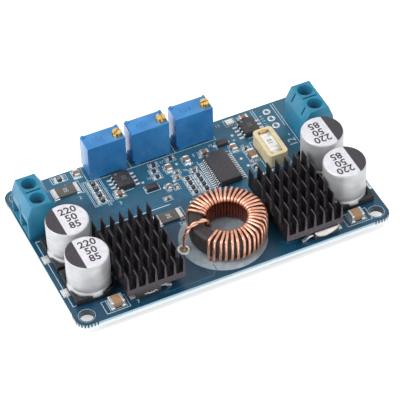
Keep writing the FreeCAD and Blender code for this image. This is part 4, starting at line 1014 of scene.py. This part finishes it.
def wire_along(name, route, radius, material):
    """A round wire on a smooth curve that ends at the first and the last point."""
    curve = bpy.data.curves.new(name, "CURVE")
    curve.dimensions = "3D"
    curve.bevel_depth = radius * MM
    curve.bevel_resolution = 3
    curve.use_fill_caps = True
    curve.resolution_u = 8
    spline = curve.splines.new("NURBS")
    spline.points.add(len(route) - 1)
    for knot, spot in zip(spline.points, route):
        knot.co = (*(Vector(spot) * MM), 1)
    spline.order_u = 4
    spline.use_endpoint_u = True
    drawn = placed(name, curve)
    mesh = as_mesh(drawn)
    mesh.materials.clear()
    mesh.materials.append(material)
    mesh.polygons.foreach_set("use_smooth", [True] * len(mesh.polygons))
    bpy.data.objects.remove(drawn)
    return placed(name, mesh)


for strand in (0, 1):
    foot = first_angle + strand * strand_step * foot_pairing
    start = first_angle + strand * strand_step * turn_pairing
    turns = grown(f"strand_turns_{strand}", coil_tree, {
        "Turns": strand_turns, "Outer reach": outer_reach * MM, "Inner reach": inner_reach * MM,
        "Lowest": wire_low * MM, "Highest": wire_high * MM, "First angle": math.radians(start),
        "Turn angle": math.radians(2 * strand_step), "Wire radius": wire_radius * MM,
        "Squareness": 0.42, "Looseness": math.radians(0.9), "Strand": strand})
    turns.data.transform(Matrix.Translation(Vector((COIL_X, COIL_Y, BOARD_TOP)) * MM))

    def at(reach, degrees, level):
        turned = math.radians(degrees)
        return (COIL_X + reach * math.cos(turned), COIL_Y + reach * math.sin(turned), BOARD_TOP + level)

    mid_level = (wire_low + wire_high) / 2
    tail = wire_along(f"tail_{strand}", [at(outer_reach, foot, -1.5), at(outer_reach, foot, 0.5),
                                         at(outer_reach, start, 2.0), at(outer_reach, start, mid_level)],
                      wire_radius, copper)
    last = start + (strand_turns - 1 + 0.25) * 2 * strand_step
    side = 0.42 if strand == 0 else -0.42
    crest = wire_high + 0.5
    inset = 4.3 if strand == 0 else 4.1
    route = [at(inner_reach, last, mid_level), at(inner_reach - 0.15, last + 1, mid_level - 0.8),
             at(inset - 0.4, last + 12, mid_level - 0.9), at(inset - 0.3, 172 + side * 4, mid_level + 0.4)]
    # The two strands are twisted round each other on their way over the ring and down to the board
    down = ((-4.35, crest - 1.5), (-4.9, crest - 0.15), (-5.8, crest + 0.12), (-6.8, crest + 0.1),
            (-7.8, crest), (-8.8, crest - 0.3), (-9.6, crest - 0.95), (-10.1, crest - 1.9),
            (-10.4, crest - 2.9), (-10.6, 2.9), (-10.75, 1.9), (-10.8, 0.7), (-10.8, -1.5))
    for step, (out, rise) in enumerate(down):
        twist = math.radians(90 + 78 * step + 180 * strand)
        apart = 0.36 if step < 11 else 0.4
        lean = 0.0 if step in (0, 11, 12) else 1.0
        if step > 10:
            twist = math.radians(90 + 180 * strand)
        route.append((COIL_X + out - lean * 0.7 * apart * math.cos(twist), COIL_Y + apart * math.sin(twist),
                      BOARD_TOP + rise + lean * 0.7 * apart * math.cos(twist)))
    lead = wire_along(f"lead_{strand}", route, wire_radius * 0.8, copper)
    turns.data.materials.clear()
    turns.data.materials.append(copper)
    finished(merged(f"copper_strand_{strand + 1}", turns, tail, lead), "enamelled_copper",
             f"inductor_winding_{strand + 1}")

flux_amber = mottled("Amber flux round the lead", 0.6, (118, 100, 72), (172, 148, 108), 0.2, (0.4, 0.04))
points, faces = [], []
add_turned(points, faces, [(0, BOARD_TOP + 0.34), (0.45, BOARD_TOP + 0.28), (0.7, BOARD_TOP + 0.14),
                           (0.86, BOARD_TOP + 0.05), (0.86, BOARD_TOP)],
           lead_hole_x, lead_hole_y, 32)
finished(new_piece("flux_ring", points, faces, flux_amber, True), "tinned")


# The chips: a controller with 28 gull wing leads and two amplifiers with eight, in dark moulded
# bodies. Each has a round mark at its first lead, and its leads are soldered to bare pads.
lead_tree, lead_in, lead_out = new_tree("Row of gull wing leads", "Wall", "Tip", "Exit height", "Foot",
                                        "Sheet", "Lead width", "Pitch", "Leads")


def lead_sum(operation, *terms):
    """One sum in the tree of the leads."""
    return maths(lead_tree, operation, *terms)


# A lead is a line of four corners: its start in the body, its exit, its heel and its toe
shape = add_node(lead_tree, "GeometryNodeMeshLine", {"Count": 4})
corner_index = add_node(lead_tree, "GeometryNodeInputIndex").outputs[0]
past_exit, past_bend, past_heel = (lead_sum("GREATER_THAN", corner_index, limit) for limit in (0.5, 1.5, 2.5))
free_length = lead_sum("SUBTRACT", lead_sum("SUBTRACT", lead_in["Tip"], lead_in["Wall"]), lead_in["Foot"])
shoulder = lead_sum("MULTIPLY", free_length, 0.45)
across = lead_sum("SUBTRACT", lead_in["Wall"], lead_in["Sheet"])
for passed, stretch in ((past_exit, lead_sum("ADD", shoulder, lead_in["Sheet"])),
                        (past_bend, lead_sum("SUBTRACT", free_length, shoulder)),
                        (past_heel, lead_in["Foot"])):
    across = lead_sum("MULTIPLY_ADD", passed, stretch, across)
rise = lead_sum("MULTIPLY_ADD", lead_sum("SUBTRACT", 1.0, past_bend), lead_in["Exit height"],
                lead_sum("MULTIPLY", lead_in["Sheet"], 0.5))
corner_spot = add_node(lead_tree, "ShaderNodeCombineXYZ", {"X": across, "Z": rise})
corner_moved = add_node(lead_tree, "GeometryNodeSetPosition",
                        {"Geometry": shape.outputs["Mesh"], "Position": corner_spot.outputs[0]})
bend_curve = add_node(lead_tree, "GeometryNodeMeshToCurve", {"Mesh": corner_moved.outputs["Geometry"]})
bend_round = add_node(lead_tree, "GeometryNodeFilletCurve", {
    "Curve": bend_curve.outputs["Curve"], "Count": 3, "Limit Radius": True,
    "Radius": lead_sum("MULTIPLY", lead_in["Sheet"], 1.1)}, mode="POLY")
bend_level = add_node(lead_tree, "GeometryNodeSetCurveNormal", {"Curve": bend_round.outputs["Curve"]},
                      mode="Z_UP")
strip = add_node(lead_tree, "GeometryNodeCurvePrimitiveQuadrilateral",
                 {"Width": lead_in["Lead width"], "Height": lead_in["Sheet"]})
lead_skin = add_node(lead_tree, "GeometryNodeCurveToMesh", {
    "Curve": bend_level.outputs["Curve"], "Profile Curve": strip.outputs["Curve"], "Fill Caps": True})
row_length = lead_sum("MULTIPLY", lead_sum("SUBTRACT", lead_in["Leads"], 1.0), lead_in["Pitch"])
row_step = add_node(lead_tree, "ShaderNodeCombineXYZ", {"Y": lead_in["Pitch"]})
row_start = add_node(lead_tree, "ShaderNodeCombineXYZ", {"Y": lead_sum("MULTIPLY", row_length, -0.5)})
row_line = add_node(lead_tree, "GeometryNodeMeshLine", {
    "Count": lead_in["Leads"], "Offset": row_step.outputs[0], "Start Location": row_start.outputs[0]})
row_spots = add_node(lead_tree, "GeometryNodeInstanceOnPoints",
                     {"Points": row_line.outputs["Mesh"], "Instance": lead_skin.outputs["Mesh"]})
close_tree(lead_tree, row_spots.outputs["Instances"], tinned, lead_out)

mark_dull = mottled("Moulded mark and print on a chip", 0.3, (104, 102, 106), (136, 134, 138), 0.6)

controller_sizes = {"Wall": 2.65, "Tip": 3.9, "Exit height": 0.8, "Foot": 0.7, "Sheet": 0.2,
                    "Lead width": 0.26, "Pitch": controller_pitch}
amplifier_sizes = {"Wall": 1.95, "Tip": 3.0, "Exit height": 0.64, "Foot": 0.7, "Sheet": 0.2,
                   "Lead width": 0.42, "Pitch": 1.27}
lead_chips = (("controller", "controller_chip", controller_x, controller_y, controller_side,
               controller_sizes, 10.2, 5.3, 1.9, ""),
              ("amplifier_1", "amplifier_chip_1", -12.0, 14.15, 4, amplifier_sizes, 4.9, 3.9, 1.55, "22"),
              ("amplifier_2", "amplifier_chip_2", 21.9, 17.15, 4, amplifier_sizes, 4.9, 3.9, 1.55, "22"))
pad_points, pad_faces = [], []
lead_rows = {"controller": [], "amplifier": []}
for title, solid, x, y, leads, sizes, length, width, height, number in lead_chips:
    dressed(solid, f"{title}_body", chip_plastic, "chip_black", 0.1)
    top = BOARD_TOP + height
    points, faces = [], []
    add_turned(points, faces, [(0, top + 0.004), (0.32, top + 0.004), (0.36, top - 0.03)],
               x - width / 2 + 0.75, y + length / 2 - 0.75, 20)
    marks = [new_piece("dot", points, faces, mark_dull)]
    if number:
        marks.append(stamp("print", number, x + 0.2, y, 1.0, mark_dull, top, 90))
    finished(merged(f"{title}_marks", *marks), "chip_black")
    for turn in (0, 180):
        metres = {name: size * MM for name, size in sizes.items()}
        row = grown("lead_row", lead_tree, {**metres, "Leads": leads})
        row.data.transform(Matrix.Translation(Vector((x, y, BOARD_TOP)) * MM)
                           @ Matrix.Rotation(math.radians(turn), 4, "Z"))
        lead_rows[title.split("_")[0]].append(row)
        way = 1 if turn == 0 else -1
        pad_margin, solder_reach = (0.02, 0.03) if title == "controller" else (0.1, 0.12)
        for lead in range(leads):
            lead_y = y + (lead - (leads - 1) / 2) * sizes["Pitch"]
            heel = sizes["Tip"] - sizes["Foot"] / 2
            add_prism(pad_points, pad_faces, box_outline(x + way * (heel + 0.1), lead_y, sizes["Foot"] + 0.6,
                                                         sizes["Lead width"] + pad_margin),
                      BOARD_TOP - 0.01, BOARD_TOP + 0.04)
            solder_fillets(pad_points, pad_faces, x + way * heel, lead_y, sizes["Foot"] - 0.04,
                           sizes["Lead width"] - 0.04, 0.16, solder_reach)
for title, rows in lead_rows.items():
    finished(merged(f"{title}_lead_rows", *rows), "tinned", f"{title}_leads")
finished(new_piece("lead_pads", pad_points, pad_faces, solder_bright), "tinned")


# The small chips are fired ceramic blocks with tinned ends: black resistors with plain numbers,
# beige capacitors, two flat sense resistors, two diodes and a status light. All are soldered flat.
def add_block(points, faces, low, high, edge):
    """A block with all its edges cut at 45 degrees."""
    first = len(points)
    for level, inset in ((low.z, edge), (low.z + edge, 0.0), (high.z - edge, 0.0), (high.z, edge)):
        for side_x, side_y in SQUARE:
            edge_x = low.x + inset if side_x < 0 else high.x - inset
            edge_y = low.y + inset if side_y < 0 else high.y - inset
            points.append((edge_x - (edge * 0.5 * side_x if inset == 0 else 0), edge_y, level))
            points.append((edge_x, edge_y - (edge * 0.5 * side_y if inset == 0 else 0), level))
    count = 8
    order = [0, 2, 3, 5, 4, 6, 7, 1]
    for ring in range(3):
        for step in range(count):
            now, then = order[step], order[(step + 1) % count]
            faces.append([first + count * ring + now, first + count * ring + then,
                          first + count * (ring + 1) + then, first + count * (ring + 1) + now])
    faces.append([first + spot for spot in reversed(order)])
    faces.append([first + count * 3 + spot for spot in order])


resistor_glaze = mottled("Black resistor glaze", 0.4, (46, 42, 42), (72, 66, 64), 0.35, (0.12, 0.01))
sense_glaze = mottled("Grey brown resistor glaze", 0.4, (80, 77, 74), (102, 98, 92), 0.4, (0.12, 0.01))
fired_beige, tree, shader, where = new_finish("Fired beige ceramic")
tan = between(tree, grain(tree, where, 0.3), (0.3, (158, 122, 92)), (0.7, (186, 150, 118)))
brown = between(tree, grain(tree, where, 0.3), (0.3, (126, 94, 74)), (0.7, (156, 122, 98)))
behind = maths(tree, "GREATER_THAN", parts_of(tree, where)["Y"], -15 * MM)
tree.links.new(blended(tree, behind, tan, brown), shader.inputs["Base Color"])
shader.inputs["Roughness"].default_value = 0.45
relief(tree, shader, grain(tree, where, 0.1), 0.01)

chip_kinds = (
    ("chip_resistor", resistor_glaze, "resistor_black", 0.03, 0.06),
    ("ceramic_capacitor", fired_beige, "capacitor_beige", 0.06, 0.12),
    ("sense_resistor", sense_glaze, "resistor_black", 0.04, 0.08),
)
pad_points, pad_faces = [], []
outline_points, outline_faces = [], []
outline_gap, outline_width = 0.42, 0.1
for kind, material, slot, inset, edge in chip_kinds:
    ends = loose_boxes(f"{kind}_ends")
    for low, high in loose_boxes(f"{kind}_bodies"):
        near = [end for end in ends
                if ((end[0] + end[1]) / 2 - (low + high) / 2).length < (high - low).length]
        left, front = (min(end[0][axis] for end in near) - outline_gap for axis in range(2))
        right, back = (max(end[1][axis] for end in near) + outline_gap for axis in range(2))
        if kind != "sense_resistor":
            add_line(outline_points, outline_faces,
                     [(left, front), (right, front), (right, back), (left, back)],
                     outline_width, LEGEND_LOW, BOARD_TOP + 0.025, True)
    points, faces = [], []
    digits = []
    for number, (low, high) in enumerate(loose_boxes(f"{kind}_bodies")):
        grow = Vector((0.01, 0.01, 0))
        add_block(points, faces, low + Vector((inset * 0.5, inset * 0.5, 0)) - grow,
                  high - Vector((inset * 0.5, inset * 0.5, inset)) + grow, edge * 0.5)
        middle, roof = (low + high) / 2, high.z - inset + 0.002
        if kind == "sense_resistor":
            digits.append(stamp("digit", "50", middle.x, middle.y, 1.1, legend_white, roof, 90))
        elif kind == "chip_resistor" and high.y - low.y > 1.0:
            digits.append(stamp("digit", "47", middle.x, middle.y, 0.6, legend_white, roof))
    finished(new_piece(f"{kind}_blocks", points, faces, material), slot, f"{kind}_bodies")
    if digits:
        finished(merged(f"{kind}_digits", *digits), slot)
    points, faces = [], []
    for low, high in loose_boxes(f"{kind}_ends"):
        add_block(points, faces, low, high, edge)
        middle, size = (low + high) / 2, high - low
        add_prism(pad_points, pad_faces, box_outline(middle.x, middle.y, size.x + 0.32, size.y + 0.16),
                  BOARD_TOP - 0.01, BOARD_TOP + 0.04, 0.04)
        solder_fillets(pad_points, pad_faces, middle.x, middle.y, size.x - 0.06, size.y - 0.06,
                       min(0.5, size.z * 0.7), 0.2)
    finished(new_piece(f"{kind}_caps", points, faces, tinned), "tinned", f"{kind}_ends")

# The tiniest resistors and capacitors, as middle, size across and size along the board
tiny_resistors = ((0.9, 16.3, 1.6, 0.8), (17.7, 4.9, 0.8, 1.6), (-3.5, 16.1, 1.6, 0.8),
                  (18.3, 11.5, 1.2, 0.6))
tiny_capacitors = ((0.4, 11.6, 1.2, 0.6), (-0.1, 9.9, 1.2, 0.6), (-1.5, 7.3, 0.6, 1.2),
                   (-4.9, 4.6, 1.2, 0.6))
cap_points, cap_faces = [], []
for name, places, material, slot in (("tiny_resistors", tiny_resistors, resistor_glaze, "resistor_black"),
                                     ("tiny_capacitors", tiny_capacitors, fired_beige, "capacitor_beige")):
    points, faces = [], []
    for x, y, across, along in places:
        half = Vector((across / 2, along / 2, 0))
        along_x = across > along
        rise = Vector((0, 0, min(across, along) * 0.75))
        middle = Vector((x, y, BOARD_TOP))
        inner = Vector((half.x * (0.62 if along_x else 0.94), half.y * (0.94 if along_x else 0.62), 0))
        add_block(points, faces, middle - inner, middle + inner + rise * 0.94, 0.03)
        way = Vector((1, 0, 0)) if along_x else Vector((0, 1, 0))
        end_half = Vector((half.x * 0.22, half.y, 0)) if along_x else Vector((half.x, half.y * 0.22, 0))
        for side in (-1, 1):
            end = middle + way * side * (max(half.x, half.y) * 0.78)
            add_block(cap_points, cap_faces, end - end_half, end + end_half + rise, 0.05)
            pad = box_outline(end.x + way.x * side * 0.1, end.y + way.y * side * 0.1,
                              2 * end_half.x + 0.24, 2 * end_half.y + 0.16)
            add_prism(pad_points, pad_faces, pad, BOARD_TOP - 0.01, BOARD_TOP + 0.04, 0.04)
        reach = half + Vector((0.42, 0.42, 0))
        add_line(outline_points, outline_faces, box_outline(x, y, 2 * reach.x, 2 * reach.y), outline_width,
                 LEGEND_LOW, BOARD_TOP + 0.025, True)
    finished(new_piece(name, points, faces, material), slot)
finished(new_piece("tiny_chip_ends", cap_points, cap_faces, tinned), "tinned")
finished(new_piece("chip_pads_and_solder", pad_points, pad_faces, solder_bright), "tinned")
finished(new_piece("chip_outlines", outline_points, outline_faces, legend_white), "laminate")

dressed("diode_bodies", "diode_blocks", chip_plastic, "chip_black", 0.1)
dressed("diode_leads", "diode_feet", tinned, "tinned", 0.04)

light_lens = mottled("Clear yellowish lens", 0.5, (248, 248, 244), (254, 254, 252), 0.15, (0.4, 0.01),
                     coat_weight=0.6)
low, high = loose_boxes("status_led")[0]
points, faces = [], []
add_block(points, faces, low, Vector((high.x, high.y, high.z - 0.3)), 0.08)
add_block(points, faces, low + Vector((0.35, 0.1, 0.3)), high - Vector((0.35, 0.1, 0)), 0.18)
finished(new_piece("light_body_and_lens", points, faces, light_lens), "led_white", "status_led")


# The fuse sits in a cream moulded holder with an open channel. It is a square white ceramic
# tube with plated caps, held between two plated spring clips, and can be pulled out.
holder_cream = mottled("Cream moulded plastic", 1.2, (214, 196, 154), (232, 216, 178), 0.4, (0.15, 0.01))
fuse_white = mottled("White fuse ceramic", 0.4, (226, 224, 216), (242, 240, 234), 0.35, (0.15, 0.008))
gold_plate = mottled("Gold plated cap", 0.5, (206, 156, 96), (236, 192, 130), (0.3, 0.22, 0.36),
                     (0.2, 0.01), metallic=0.9)
cradle = merged_copy("fuse_holder", "fuse_cradle", holder_cream)
shape = bmesh.new()
shape.from_mesh(cradle.data)
spans = [(min(spot.co[axis] for spot in shape.verts), max(spot.co[axis] for spot in shape.verts))
         for axis in (0, 1)]
corner_edges = [edge for edge in shape.edges
                if all(min(abs(spot.co[axis] - side) for side in spans[axis]) < 0.02 * MM
                       for spot in edge.verts for axis in (0, 1))
                and abs(edge.verts[0].co.z - edge.verts[1].co.z) > 0.1 * MM]
bmesh.ops.bevel(shape, geom=corner_edges, offset=1.0 * MM, segments=3, profile=0.5, affect="EDGES")
bmesh.ops.bevel(shape, geom=[edge for edge in shape.edges if len(edge.link_faces) == 2
                             and edge.calc_face_angle() > math.radians(50)],
                offset=0.2 * MM, segments=2, profile=0.5, affect="EDGES", clamp_overlap=True)
shape.to_mesh(cradle.data)
shape.free()
finished(cradle, "cream", "fuse_holder")
dressed("fuse_body", "fuse_tube", fuse_white, "fuse_white", 0.12)
fuse_middle = 7.75
fuse_number = stamp("fuse_number", "10", 22.9, fuse_middle, 1.3, can_print, 5.28, 90)
finished(merged("fuse_figures", fuse_number), "fuse_white")
fuse_metal = merged_copy("fuse_contacts", "fuse_caps_and_clips", gold_plate, 0.1)
fuse_metal.data.materials.append(fuse_white)
for face in fuse_metal.data.polygons:
    # The two caps and the near clip are plated nearly white, only the far clip shows gold
    if face.center.y / MM - fuse_middle < 3.04:
        face.material_index = 1
points, faces = [], []
tab_x, tab_low, tab_sheet = 22.7, 5.3, 0.16
add_prism(points, faces, box_outline(tab_x, fuse_middle + 3.75, 1.7, 1.0), tab_low, tab_low + tab_sheet, 0.05)
clip_tab = new_piece("clip_tab", points, faces, gold_plate)
finished(merged("fuse_caps_clips_and_tab", fuse_metal, clip_tab), "gold", "fuse_contacts")


# Solder joints below the board: bright cones drawn round each pin that comes through it. The
# underside also has plain white numbers beside the rows of pins.
points, faces = [], []
for low, high in loose_boxes("solder_joints"):
    middle, size = (low + high) / 2, high - low
    foot = min(size.x, size.y) / 2
    if size.z < 1.2:
        profile = [(0, -0.92), (foot * 0.42, -0.92), (foot * 0.46, -0.82), (foot * 0.52, -0.6),
                   (foot * 0.68, -0.3), (foot * 0.88, -0.09), (foot * 1.0, 0.0)]
    else:
        profile = [(0, -1.5), (foot * 0.3, -1.48), (foot * 0.5, -1.3), (foot * 0.68, -0.85),
                   (foot * 0.86, -0.35), (foot * 1.0, 0.0)]
    add_turned(points, faces, profile, middle.x, middle.y, 24)
faces = [list(reversed(face)) for face in faces]
finished(new_piece("solder_cones", points, faces, solder_bright, True), "tinned", "solder_joints")

under_words = [stamp(f"under_{number}", text, x, y, height, legend_white, -0.015, turn, True)
               for number, (text, x, y, height, turn) in enumerate((
                   ("+", -31.6, 13.87, 2.0, 0), ("-", -31.6, 8.79, 2.0, 0), ("-", 31.4, 13.87, 2.0, 0),
                   ("+", 31.4, 8.79, 2.0, 0), ("1", -14.0, 17.0, 1.4, 0), ("2", -2.9, 17.0, 1.4, 0),
                   ("3", 8.3, 17.0, 1.4, 0), ("1", 26.2, 20.7, 1.2, 0), ("2", 26.2, 18.1, 1.2, 0),
                   ("3", 26.2, 15.5, 1.2, 0)))]
finished(merged("under_numbers", *under_words), "laminate")
points, faces = [], []
add_line(points, faces, [(-18.8, 17.6), (13.2, 17.6), (13.2, 23.0), (-18.8, 23.0)], 0.2, -0.03, 0.01, True)
finished(new_piece("under_lines", points, faces, legend_white), "laminate")
